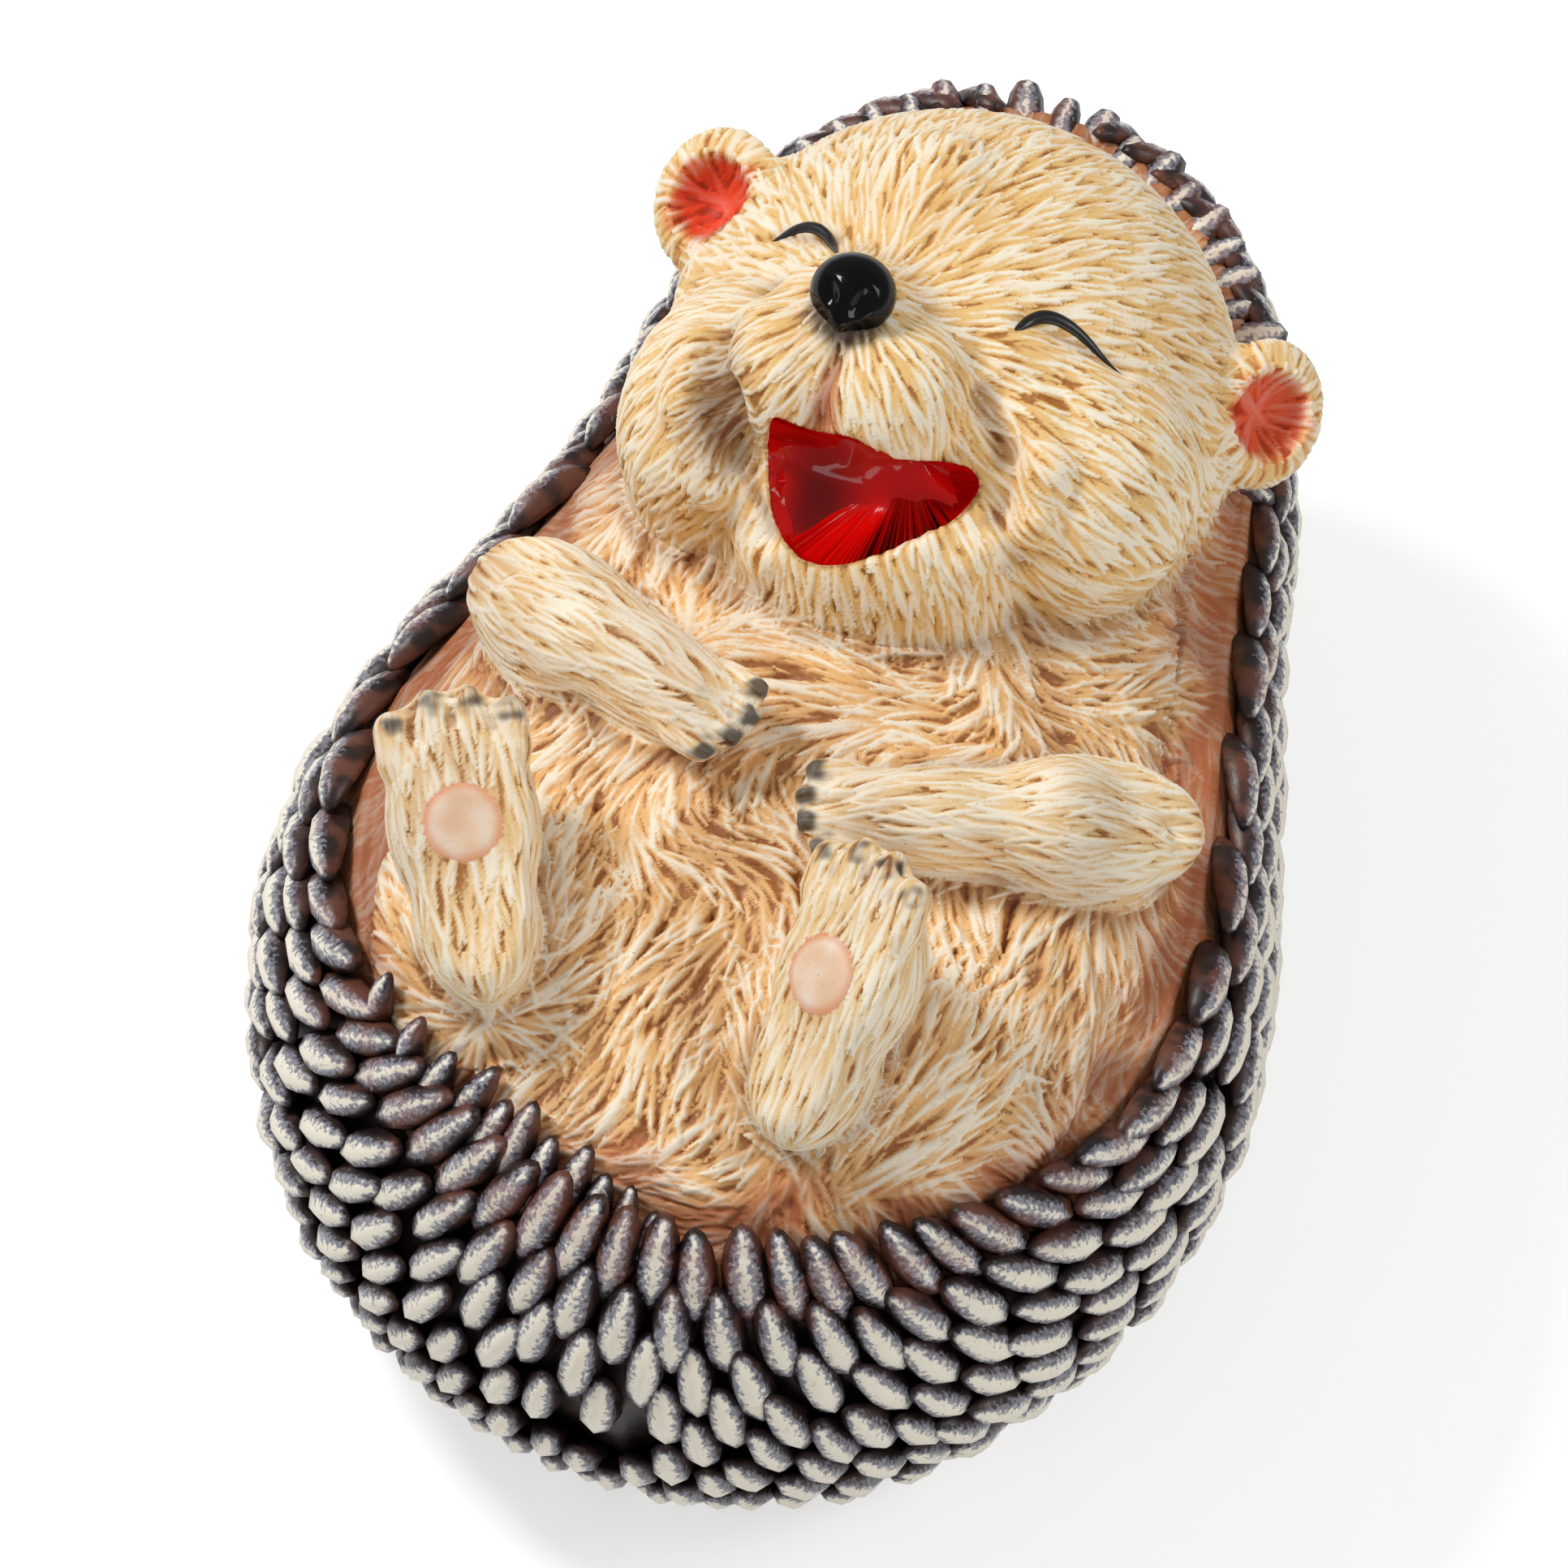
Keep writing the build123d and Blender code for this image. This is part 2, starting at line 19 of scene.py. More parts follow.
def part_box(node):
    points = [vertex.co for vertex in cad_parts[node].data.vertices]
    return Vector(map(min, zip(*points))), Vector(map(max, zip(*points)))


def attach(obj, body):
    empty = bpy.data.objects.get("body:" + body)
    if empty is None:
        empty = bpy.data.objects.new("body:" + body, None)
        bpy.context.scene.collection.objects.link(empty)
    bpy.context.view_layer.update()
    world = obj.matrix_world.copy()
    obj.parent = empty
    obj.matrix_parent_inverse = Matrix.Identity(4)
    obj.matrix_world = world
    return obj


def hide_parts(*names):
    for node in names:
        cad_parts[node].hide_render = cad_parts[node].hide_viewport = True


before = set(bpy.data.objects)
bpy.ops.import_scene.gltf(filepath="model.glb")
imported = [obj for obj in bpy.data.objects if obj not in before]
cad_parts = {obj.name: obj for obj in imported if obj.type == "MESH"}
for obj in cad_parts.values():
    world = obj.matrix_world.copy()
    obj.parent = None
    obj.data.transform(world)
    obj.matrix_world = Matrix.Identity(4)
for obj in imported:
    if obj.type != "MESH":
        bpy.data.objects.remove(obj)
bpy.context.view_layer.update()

LOG = logging.getLogger("figurine")
MM = 0.001

# How the figure lies, as in the part's own solids
RECLINE = math.radians(11.0)
RESTING_DEPTH = 42.0 * MM
RIM_RISE = 25.0 * MM
RIM_TILT = math.radians(8.25)
RIM_NORMAL = np.array([0.0, math.sin(RIM_TILT), math.cos(RIM_TILT)])
CROWN_REACH = 129.0
PLUG_SHARE = -0.06

# How the figure is seen in the picture: its axes and aim in the body frame, in millimetres
SEEN_ACROSS = np.array([0.950, 0.311, 0.016])
SEEN_UPWARD = np.array([-0.293, 0.878, 0.379])
SEEN_BACK = np.cross(SEEN_ACROSS, SEEN_UPWARD)
SEEN_AIM = np.array([3.09, 25.9])
SEEN_FAR = 2500.0

Array = np.ndarray


class Form(Enum):
    """The furred forms that are carved as one skin, in the order of their labels."""

    BELLY = "belly"
    HEAD = "head"
    MUZZLE = "muzzle"
    LEFT_HAUNCH = "left_haunch"
    RIGHT_HAUNCH = "right_haunch"
    LEFT_ARM = "left_arm"
    RIGHT_ARM = "right_arm"
    LEFT_FINGERS = "left_fingers"
    RIGHT_FINGERS = "right_fingers"
    LEFT_FOOT = "left_foot"
    RIGHT_FOOT = "right_foot"
    LEFT_TOES = "left_toes"
    RIGHT_TOES = "right_toes"
    LEFT_PAD = "left_sole_pad"
    RIGHT_PAD = "right_sole_pad"
    LEFT_EAR = "left_ear"
    RIGHT_EAR = "right_ear"
    MOUTH = "mouth_lining"


FORMS = list(Form)
LABEL = {form: i for i, form in enumerate(FORMS)}
FACE = (Form.HEAD, Form.MUZZLE)
TRUNK = (Form.BELLY, Form.LEFT_HAUNCH, Form.RIGHT_HAUNCH)
ARMS = (Form.LEFT_ARM, Form.RIGHT_ARM)
FINGERS = (Form.LEFT_FINGERS, Form.RIGHT_FINGERS)
TOES = (Form.LEFT_TOES, Form.RIGHT_TOES)
PADS = (Form.LEFT_PAD, Form.RIGHT_PAD)
EARS = (Form.LEFT_EAR, Form.RIGHT_EAR)


def among(labels: Array, forms: tuple[Form, ...]) -> Array:
    """Which labels are those of one of the forms."""
    return np.isin(labels, [LABEL[form] for form in forms])


def unit(vectors: Array) -> Array:
    """Vectors scaled to a length of one."""
    return vectors / np.maximum(np.linalg.norm(vectors, axis=-1, keepdims=True), 1e-12)


def smoothstep(low: float, high: float, values: Array) -> Array:
    """A soft step from 0 at low to 1 at high."""
    t = np.clip((values - low) / (high - low), 0.0, 1.0)
    return t * t * (3.0 - 2.0 * t)


def seen(points: Array) -> Array:
    """Where places in the body frame stand in the picture, across and up."""
    flat = points @ np.stack([SEEN_ACROSS, SEEN_UPWARD], axis=1) - SEEN_AIM
    return flat * (SEEN_FAR / (SEEN_FAR - points @ SEEN_BACK))[:, None] + SEEN_AIM


def inside(outline: Array, places: Array) -> Array:
    """Which places lie inside a closed outline."""
    found = np.zeros(len(places), bool)
    for (x1, y1), (x2, y2) in zip(outline, np.roll(outline, -1, axis=0)):
        crosses = (y1 > places[:, 1]) != (y2 > places[:, 1])
        share = (places[:, 1] - y1) / (y2 - y1 if y2 != y1 else 1e-9)
        found ^= crosses & (places[:, 0] < x1 + share * (x2 - x1))
    return found


class BodyFrame:
    """The figure's own axes: across, along the body to the crown, and out of the belly."""

    def __init__(self) -> None:
        """Finds the axes from the plug, whose place along the body is known."""
        low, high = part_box("base_plug")
        plug = (low + high) / 2
        station = PLUG_SHARE * CROWN_REACH * MM
        rise = -RESTING_DEPTH / math.cos(RECLINE) - math.tan(RECLINE) * station
        start = math.cos(RECLINE) * station - math.sin(RECLINE) * rise
        self.middle = np.array([plug.x, plug.y - start, RESTING_DEPTH])
        self.axes = np.array(
            [
                [1.0, 0.0, 0.0],
                [0.0, math.cos(RECLINE), math.sin(RECLINE)],
                [0.0, -math.sin(RECLINE), math.cos(RECLINE)],
            ]
        )

    def inward(self, points: Array) -> Array:
        """Places in the body frame, in millimetres."""
        return (np.asarray(points) - self.middle) @ self.axes.T / MM

    def outward(self, points: Array) -> Array:
        """Places in the part's frame, from the body frame's millimetres."""
        return np.asarray(points, float) * MM @ self.axes + self.middle

    def direction(self, vectors: Array) -> Array:
        """Directions in the part's frame, from the body frame's."""
        return unit(np.asarray(vectors, float) @ self.axes)


def mesh_arrays(mesh: bpy.types.Mesh) -> tuple[Array, Array]:
    """Vertices and triangles of a mesh.

    Args:
        mesh: The mesh to read.

    Returns:
        Its vertices and its triangles' corners.
    """
    points = np.zeros(len(mesh.vertices) * 3)
    mesh.vertices.foreach_get("co", points)
    mesh.calc_loop_triangles()
    corners = np.zeros(len(mesh.loop_triangles) * 3, np.int32)
    mesh.loop_triangles.foreach_get("vertices", corners)
    return points.reshape(-1, 3), corners.reshape(-1, 3)


def node_copy(name: str) -> bmesh.types.BMesh:
    """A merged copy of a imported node's mesh, with the node itself left as it is."""
    copy = bmesh.new()
    copy.from_mesh(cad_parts[name].data)
    bmesh.ops.remove_doubles(copy, verts=copy.verts, dist=1e-6)
    return copy


def islands(name: str) -> list[Array]:
    """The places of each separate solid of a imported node."""
    copy = node_copy(name)
    loose = set(copy.verts)
    found = []
    while loose:
        front, island = [loose.pop()], []
        while front:
            vert = front.pop()
            island.append(vert.co[:])
            for edge in vert.link_edges:
                other = edge.other_vert(vert)
                if other in loose:
                    loose.discard(other)
                    front.append(other)
        found.append(np.array(island))
    copy.free()
    return found


def linked(name: str, mesh: bpy.types.Mesh) -> bpy.types.Object:
    """A new object in the scene for a mesh."""
    piece = bpy.data.objects.new(name, mesh)
    bpy.context.scene.collection.objects.link(piece)
    return piece


def evaluated(piece: bpy.types.Object) -> bpy.types.Mesh:
    """The mesh of an object with its modifiers applied."""
    bpy.context.view_layer.update()
    return bpy.data.meshes.new_from_object(piece.evaluated_get(bpy.context.evaluated_depsgraph_get()))


def fields_attribute(mesh: bpy.types.Mesh, name: str, values: Array) -> None:
    """Stores one value for each vertex under a name that the materials read."""
    layer = mesh.attributes.new(name, "FLOAT", "POINT")
    layer.data.foreach_set("value", np.asarray(values, np.float32))


class Noise:
    """Smooth seeded noise in space, made from a few waves."""

    def __init__(self, seed: int, wavelength: float, waves: int = 12) -> None:
        """Draws the waves.

        Args:
            seed: The seed of the draws.
            wavelength: The mean wavelength, in the units of the points.
            waves: How many waves are summed.
        """
        rng = np.random.default_rng(seed)
        directions = unit(rng.normal(size=(waves, 3)))
        scales = rng.uniform(0.7, 1.5, size=(waves, 1))
        self.waves = directions * scales * math.tau / wavelength
        self.phases = rng.uniform(0.0, math.tau, size=waves)

    def __call__(self, points: Array) -> Array:
        """Values of about -1 to 1 at the points."""
        return np.sin(points @ self.waves.T + self.phases).sum(axis=1) / math.sqrt(len(self.phases) * 1.4)


@dataclass
class Brush:
    """One sculpted mark: a groove, bump or flat along a line between two body places."""

    start: tuple[float, float, float]
    end: tuple[float, float, float]
    radius: float
    depth: float

    def height(self, points: Array) -> Array:
        """How far the mark moves each point along its normal, in millimetres."""
        a, b = np.array(self.start), np.array(self.end)
        along = b - a
        share = np.clip(((points - a) @ along) / max(along @ along, 1e-9), 0.0, 1.0)
        gap = np.linalg.norm(points - a - share[:, None] * along, axis=1) / self.radius
        return self.depth * np.where(gap < 1.0, (1.0 - gap * gap) ** 2, 0.0)


@dataclass
class StrokeSet:
    """Carved strokes of one size: their spacing, length, width and height in millimetres."""

    spacing: float
    length: float
    width: float
    height: float
    swirl: float
    bend: float
    seed: int


@dataclass
class Egg:
    """The egg that carries the quills, in the body frame's millimetres."""

    half_width: float = 62.0
    depth: float = 52.0
    rump_reach: float = 66.0
    crown_reach: float = CROWN_REACH
    neck: float = 0.15
    lean: float = 2.5

    def height(self, points: Array) -> Array:
        """How far each point stands out from the egg."""
        across, along, rise = points.T
        swell = np.sin(math.pi * np.maximum(along, 0.0) / self.crown_reach) ** 2
        waist = 1.0 - self.neck * swell
        reach = np.where(along < 0, self.rump_reach, self.crown_reach)
        halves = np.stack([self.half_width * waist, reach, self.depth * waist], axis=1)
        shares = np.stack([across - self.lean * swell, along, rise], axis=1) / halves
        size = np.linalg.norm(shares, axis=1)
        return (size - 1.0) / np.maximum(np.linalg.norm(shares / halves, axis=1), 1e-9)

    @staticmethod
    def over_rim(points: Array) -> Array:
        """How far each point stands above the rim's plane."""
        return (points[:, 2] - RIM_RISE / MM) * math.cos(RIM_TILT) + points[:, 1] * math.sin(RIM_TILT)

    def rim_distance(self, points: Array) -> Array:
        """About how far each point of the fur lies from the rim's outer edge."""
        return np.hypot(np.maximum(self.over_rim(points), 0.0), np.minimum(self.height(points), 0.0))


@dataclass
class Skin:
    """The carved skin as arrays: places and normals in the body frame, in millimetres."""

    points: Array
    faces: Array
    labels: Array
    edges: Array = field(init=False)
    normals: Array = field(init=False)

    def __post_init__(self) -> None:
        """Finds the edges and the normals."""
        sides = np.vstack([self.faces[:, [i, (i + 1) % 4]] for i in range(4)])
        self.edges = np.unique(np.sort(sides, axis=1), axis=0)
        self.update_normals()

    def update_normals(self) -> None:
        """Works out each vertex's outward direction again."""
        corners = self.points[self.faces]
        across = np.cross(corners[:, 2] - corners[:, 0], corners[:, 3] - corners[:, 1])
        total = np.zeros_like(self.points)
        for k in range(3):
            for i in range(4):
                total[:, k] += np.bincount(self.faces[:, i], across[:, k], len(self.points))
        self.normals = unit(total)

    def vertex_labels(self) -> Array:
        """The label of one face at each vertex."""
        found = np.zeros(len(self.points), int)
        for i in range(4):
            found[self.faces[:, i]] = self.labels
        return found

    def blurred(self, values: Array, amount: Array | float, rounds: int) -> Array:
        """Values averaged with their neighbours' again and again.

        Args:
            values: One row for each vertex.
            amount: How far each vertex moves to its neighbours' mean each time.
            rounds: How many times.

        Returns:
            The averaged values.
        """
        a, b = self.edges[:, 0], self.edges[:, 1]
        count = len(values)
        degree = np.maximum(np.bincount(a, minlength=count) + np.bincount(b, minlength=count), 1)
        flat = values.reshape(count, -1).astype(float)
        share = np.broadcast_to(np.asarray(amount, float).reshape(-1, 1), (count, 1))
        for _ in range(rounds):
            total = np.empty_like(flat)
            for k in range(flat.shape[1]):
                total[:, k] = np.bincount(a, flat[b, k], count) + np.bincount(b, flat[a, k], count)
            flat = flat + share * (total / degree[:, None] - flat)
        return flat.reshape(values.shape)

    def spanned(self, loose: Array, rounds: int) -> None:
        """Draws the loose vertices out to a smooth sheet between the others.

        Args:
            loose: Which vertices may move.
            rounds: How many times they move to their neighbours' mean.
        """
        kept = self.edges[loose[self.edges].any(axis=1)]
        used, local = np.unique(kept, return_inverse=True)
        local = local.reshape(-1, 2)
        points, free = self.points[used], loose[used]
        degree = np.bincount(local.ravel(), minlength=len(used))
        for _ in range(rounds):
            for k in range(3):
                total = np.bincount(local[:, 0], points[local[:, 1], k], len(used))
                total += np.bincount(local[:, 1], points[local[:, 0], k], len(used))
                points[free, k] += 0.8 * (total / degree - points[:, k])[free]
        self.points[used] = points
        self.update_normals()

    def even_borders(self, rounds: int) -> None:
        """Draws the stepped borders between the forms out to even lines."""
        sides = np.vstack([self.faces[:, [i, (i + 1) % 4]] for i in range(4)])
        owners = np.tile(self.labels, 4)
        keys = np.sort(sides, axis=1) @ np.array([len(self.points), 1])
        order = np.argsort(keys, kind="stable")
        keys, owners, sides = keys[order], owners[order], sides[order]
        pairs = np.flatnonzero((keys[1:] == keys[:-1]) & (owners[1:] != owners[:-1]))
        a, b = sides[pairs].T
        degree = np.bincount(a, minlength=len(self.points)) + np.bincount(b, minlength=len(self.points))
        free = degree == 2
        for _ in range(rounds):
            for k in range(3):
                line = self.points[:, k]
                total = np.bincount(a, line[b], len(line)) + np.bincount(b, line[a], len(line))
                line[free] += 0.5 * (total[free] / 2 - line[free])
        self.update_normals()


# How softly each form runs into its neighbours
SOFTNESS = {
    Form.BELLY: 1.0,
    Form.HEAD: 0.9,
    Form.MUZZLE: 0.5,
    Form.LEFT_HAUNCH: 1.0,
    Form.RIGHT_HAUNCH: 1.0,
    Form.LEFT_ARM: 0.8,
    Form.RIGHT_ARM: 0.8,
    Form.LEFT_FINGERS: 0.16,
    Form.RIGHT_FINGERS: 0.16,
    Form.LEFT_FOOT: 0.35,
    Form.RIGHT_FOOT: 0.35,
    Form.LEFT_TOES: 0.10,
    Form.RIGHT_TOES: 0.10,
    Form.LEFT_PAD: 0.15,
    Form.RIGHT_PAD: 0.15,
    Form.LEFT_EAR: 0.12,
    Form.RIGHT_EAR: 0.12,
    Form.MOUTH: 0.12,
}

# Where the fur flows from and to, in the body frame's millimetres
HEAD_MIDDLE = np.array([0.0, 78.0, 20.0])
HEAD_HALVES = np.array([38.5, 40.0, 33.0])
NOSE = np.array([-11.8, 71.6, 63.0])
MOUTH = np.array([-1.7, 49.0, 47.0])
LEFT_LIMB = (np.array([-46.0, 30.0, 32.0]), np.array([-9.7, 15.2, 46.8]))
RIGHT_LIMB = (np.array([50.0, 25.8, 31.2]), np.array([4.6, 7.0, 46.8]))
LEFT_HEEL = np.array([-27.3, -31.6, 45.2])
RIGHT_HEEL = np.array([14.6, -37.4, 43.2])
LEFT_TOES = np.array([-44.0, 2.0, 55.0])
RIGHT_TOES = np.array([16.9, -5.0, 60.0])
LEFT_EAR = np.array([-36.6, 91.8, 30.0])
RIGHT_EAR = np.array([40.4, 87.3, 26.0])

TIP_NODES = (
    ("left_fingers", LEFT_LIMB[1] - LEFT_LIMB[0]),
    ("right_fingers", RIGHT_LIMB[1] - RIGHT_LIMB[0]),
    ("left_toes", LEFT_TOES - LEFT_HEEL),
    ("right_toes", RIGHT_TOES - RIGHT_HEEL),
)

# The mouth's outline in the picture, from its left upper corner rightwards
MOUTH_OUTLINE = np.array(
    [(1.4, 74.6), (5.1, 72.8), (8.3, 71.9), (11.6, 71.7), (14.5, 70.2), (18.1, 68.6), (23.0, 68.4), (27.5, 67.6),
     (29.2, 65.9), (28.5, 63.9), (25.9, 61.0), (20.0, 58.0), (15.8, 56.2), (11.0, 54.8), (7.8, 54.6), (5.1, 55.6),
     (3.0, 58.0), (1.7, 60.9), (1.1, 65.6), (1.1, 70.5)]
)
MOUTH_TOP = MOUTH_OUTLINE[:9]
# Where the painted shade in the mouth's hollow is darkest, in the picture
MOUTH_DARK = np.array([7.5, 61.5])

# Places that a wash is painted round, in the body frame's millimetres; round the cheek pocket it is painted shade
LIP_GROOVE = np.array([-11.0, 56.5, 55.0])
NOSE_SMUDGE = np.array([-11.8, 69.5, 60.0])
CHEEK_POCKET = np.array([-24.0, 57.0, 49.0])

SCULPT_MARKS = [
    Brush((-25.5, 64.0, 53.0), (-23.5, 56.0, 53.0), 4.8, -3.4),
    Brush((-23.5, 56.0, 53.0), (-20.0, 50.0, 47.0), 4.8, -4.0),
    Brush((-20.0, 50.0, 47.0), (-14.5, 43.5, 43.0), 3.4, -2.0),
    Brush((-36.6, 91.8, 30.0), (-36.6, 91.8, 30.0), 7.4, -2.2),
    Brush((40.4, 87.3, 26.0), (40.4, 87.3, 26.0), 7.4, -2.2),
    Brush((-49.0, 32.5, 36.0), (-41.0, 29.0, 40.0), 14.0, -5.0),
    Brush((53.0, 26.0, 35.0), (45.0, 24.0, 40.0), 14.0, -5.0),
    Brush((-30.7, 63.0, 49.2), (-29.0, 56.0, 48.8), 5.5, 2.0),
    Brush((-28.5, 55.0, 48.5), (-23.3, 47.7, 44.8), 5.0, 2.2),
    Brush((-23.3, 47.7, 44.8), (-14.5, 40.5, 39.5), 4.5, 1.3),
    Brush((8.5, 67.0, 52.5), (12.7, 61.5, 49.5), 3.6, -1.4),
    Brush((14.1, 67.0, 50.2), (18.6, 60.5, 49.7), 5.0, 1.8),
    Brush((18.6, 60.5, 49.7), (18.8, 54.0, 46.5), 4.6, 1.8),
    Brush((18.8, 54.0, 46.5), (12.5, 47.5, 44.0), 4.0, 1.2),
    Brush((-11.3, 65.0, 60.0), (-10.6, 56.0, 54.0), 2.2, -1.2),
    Brush((10.0, 74.5, 52.0), (20.0, 73.0, 49.0), 6.0, 1.2),
    Brush((-24.0, 79.0, 47.0), (-20.0, 79.0, 49.0), 4.5, 1.0),
    Brush((9.0, 78.5, 51.8), (24.0, 79.5, 48.0), 2.6, -0.8),
    Brush((-26.5, 84.3, 43.8), (-18.0, 83.5, 48.8), 2.4, -0.8),
]


class FurSkin:
    """The furred front carved as one skin, then parted into its named forms."""

    VOXEL = 0.66
    SPLIT = {Form.HEAD: 2, Form.BELLY: 2}
    COLLAR = 7.5
    HEAD_STROKES = StrokeSet(1.45, 6.6, 0.62, 0.78, 0.15, 0.010, 11)
    BODY_LOCKS = StrokeSet(3.0, 14.0, 1.7, 1.9, 0.16, 0.020, 12)
    BODY_STROKES = StrokeSet(1.5, 8.0, 0.64, 0.78, 0.15, 0.015, 13)
    DEEPEST = 12.0
    WIDE = 13.0
    SKIRT = 1.6
    SHALLOW = 0.8
    MOUTH_SINK = 1.8
    TOP_SINK = 1.8
    MOUTH_REACH = 25.0
    MOUTH_ROUNDS = 500
    MOUTH_SHIFTS = ((0.0, 3.0), (0.0, 5.5), (2.0, 0.0), (-2.0, 0.0), (0.0, -2.5), (-1.5, -1.5))
    PITS = [(-21.7, 15.2, 41.5), (-21.2, 13.9, 44.5)]
    PIT_REACH = 4.2
    PIT_ROUNDS = 120
    CLOSING = 0.9
    CLEAR = 0.35

    def __init__(self, body: BodyFrame) -> None:
        """Keeps the body's axes and prepares the look-up of the nearest node."""
        self.body = body
        self.near = None
        self.face = None
        points, faces, owners = [], [], []
        count = 0
        for form in FORMS:
            node_points, node_faces = mesh_arrays(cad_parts[form.value].data)
            points.append(node_points)
            faces.append(node_faces + count)
            owners += [LABEL[form]] * len(node_faces)
            count += len(node_points)
        self.tree = BVHTree.FromPolygons(np.vstack(points).tolist(), np.vstack(faces).tolist())
        self.owners = owners

    def collar(self) -> bpy.types.Mesh:
        """The upper band of the quill skin, which the fur laps over."""
        band = node_copy("quill_coat")
        origin = self.body.outward([0.0, 0.0, RIM_RISE / MM - self.COLLAR])
        normal = self.body.direction(RIM_NORMAL)
        cut = bmesh.ops.bisect_plane(
            band,
            geom=band.verts[:] + band.edges[:] + band.faces[:],
            plane_co=origin,
            plane_no=normal,
            clear_inner=True,
        )
        edges = [item for item in cut["geom_cut"] if isinstance(item, bmesh.types.BMEdge)]
        bmesh.ops.holes_fill(band, edges=[edge for edge in edges if edge.is_boundary])
        mesh = bpy.data.meshes.new("collar")
        band.to_mesh(mesh)
        band.free()
        return mesh

    def union(self) -> bpy.types.Mesh:
        """All the furred forms fused to one skin of small squares."""
        whole = bmesh.new()
        for form in FORMS:
            whole.from_mesh(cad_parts[form.value].data)
        whole.from_mesh(self.collar())
        bmesh.ops.remove_doubles(whole, verts=whole.verts, dist=1e-6)
        mesh = bpy.data.meshes.new("furred forms")
        whole.to_mesh(mesh)
        whole.free()
        piece = linked("furred forms", mesh)
        swell = piece.modifiers.new("swell", "DISPLACE")
        swell.strength = self.CLOSING * MM
        swell.mid_level = 0.0
        remesh = piece.modifiers.new("fuse", "REMESH")
        remesh.mode = "VOXEL"
        remesh.voxel_size = self.VOXEL * MM
        fused = evaluated(piece)
        bpy.data.objects.remove(piece)
        return fused

    def coarse(self, egg: Egg) -> Skin:
        """The fused skin without its hidden underside, each face with its form's label."""
        mesh = self.union()
        points = np.zeros(len(mesh.vertices) * 3)
        mesh.vertices.foreach_get("co", points)
        places = points.reshape(-1, 3)
        corners = np.zeros(len(mesh.loops), np.int32)
        mesh.loops.foreach_get("vertex_index", corners)
        faces = corners.reshape(-1, 4)
        bpy.data.meshes.remove(mesh)
        points = self.body.inward(places)
        middles = points[faces].mean(axis=1)
        quads = points[faces]
        normals = unit(np.cross(quads[:, 2] - quads[:, 0], quads[:, 3] - quads[:, 1]))
        over = egg.over_rim(middles)
        upward = normals @ RIM_NORMAL
        shown = ((over > -0.6) & (upward > -0.35)) | (over > 0.3)
        shown |= (egg.height(middles) > -2.5) & (over > 0.7 - self.COLLAR)
        hollow = np.linalg.norm((middles - HEAD_MIDDLE) / HEAD_HALVES, axis=1) <= 0.75
        opening = (np.linalg.norm(middles - MOUTH, axis=1) < self.MOUTH_REACH) & (normals @ SEEN_BACK > -0.2)
        shown &= ~hollow | opening
        faces, middles = faces[shown], middles[shown]
        lips = opening[shown] & inside(MOUTH_OUTLINE, seen(middles))
        labels = np.zeros(len(faces), int)
        for i, middle in enumerate(self.body.outward(middles)):
            _, _, index, gap = self.tree.find_nearest(middle)
            label = self.owners[index]
            if gap > (1.0 + self.CLOSING) * MM and label > LABEL[Form.HEAD]:
                label = LABEL[Form.HEAD] if middles[i, 1] > 62.0 or lips[i] else LABEL[Form.BELLY]
            labels[i] = label
        used, faces = np.unique(faces, return_inverse=True)
        skin = Skin(points[used], faces.reshape(-1, 4), labels)
        votes = np.zeros((len(skin.points), len(FORMS)))
        for i in range(4):
            np.add.at(votes, (skin.faces[:, i], skin.labels), 1.0)
        votes = skin.blurred(votes, 0.5, 4)
        skin.labels = votes[skin.faces].sum(axis=1).argmax(axis=1)
        skin.points = skin.blurred(skin.points, 0.5, 2)
        skin.update_normals()
        skin.points -= skin.normals * self.CLOSING
        skin.update_normals()
        return skin

    def open_mouth(self, skin: Skin) -> None:
        """Draws the mouth out to one shallow sheet between its lips."""
        labels = skin.vertex_labels()
        near = np.linalg.norm(skin.points - MOUTH, axis=1) < self.MOUTH_REACH
        places = seen(skin.points)
        over = inside(MOUTH_OUTLINE, places)
        around = over.copy()
        for shift in self.MOUTH_SHIFTS:
            around |= inside(MOUTH_OUTLINE, places - np.array(shift))
        hidden = (labels == LABEL[Form.MOUTH]) | (skin.normals @ SEEN_BACK < 0.12)
        skin.spanned(near & (over | (around & hidden)), self.MOUTH_ROUNDS)
        for place in self.PITS:
            skin.spanned(np.linalg.norm(skin.points - np.array(place), axis=1) < self.PIT_REACH, self.PIT_ROUNDS)

    def label_mouth(self, skin: Skin) -> None:
        """Gives the mouth's label to the faces inside its outline only."""
        middles = skin.points[skin.faces].mean(axis=1)
        red = inside(MOUTH_OUTLINE, seen(middles)) & (np.linalg.norm(middles - MOUTH, axis=1) < self.MOUTH_REACH)
        skin.labels[skin.labels == LABEL[Form.MOUTH]] = LABEL[Form.HEAD]
        skin.labels[red] = LABEL[Form.MOUTH]

    def clefts(self) -> list[Brush]:
        """The grooves between neighbouring fingers and between neighbouring toes."""
        marks = []
        for node, heading in TIP_NODES:
            way = unit(heading)
            ends = np.array(self.tips(node, heading))
            ends = ends[np.argsort(ends @ np.cross([0.0, 0.0, 1.0], way))]
            length, depth = (8.0, -0.9) if "fingers" in node else (5.0, -1.5)
            for a, b in zip(ends, ends[1:]):
                line = np.array([(a + b) / 2, (a + b) / 2 - way * length])
                start, end = (self.body.inward(self.tree.find_nearest(place)[0]) for place in self.body.outward(line))
                marks.append(Brush(tuple(start), tuple(end), 1.5, depth))
        return marks

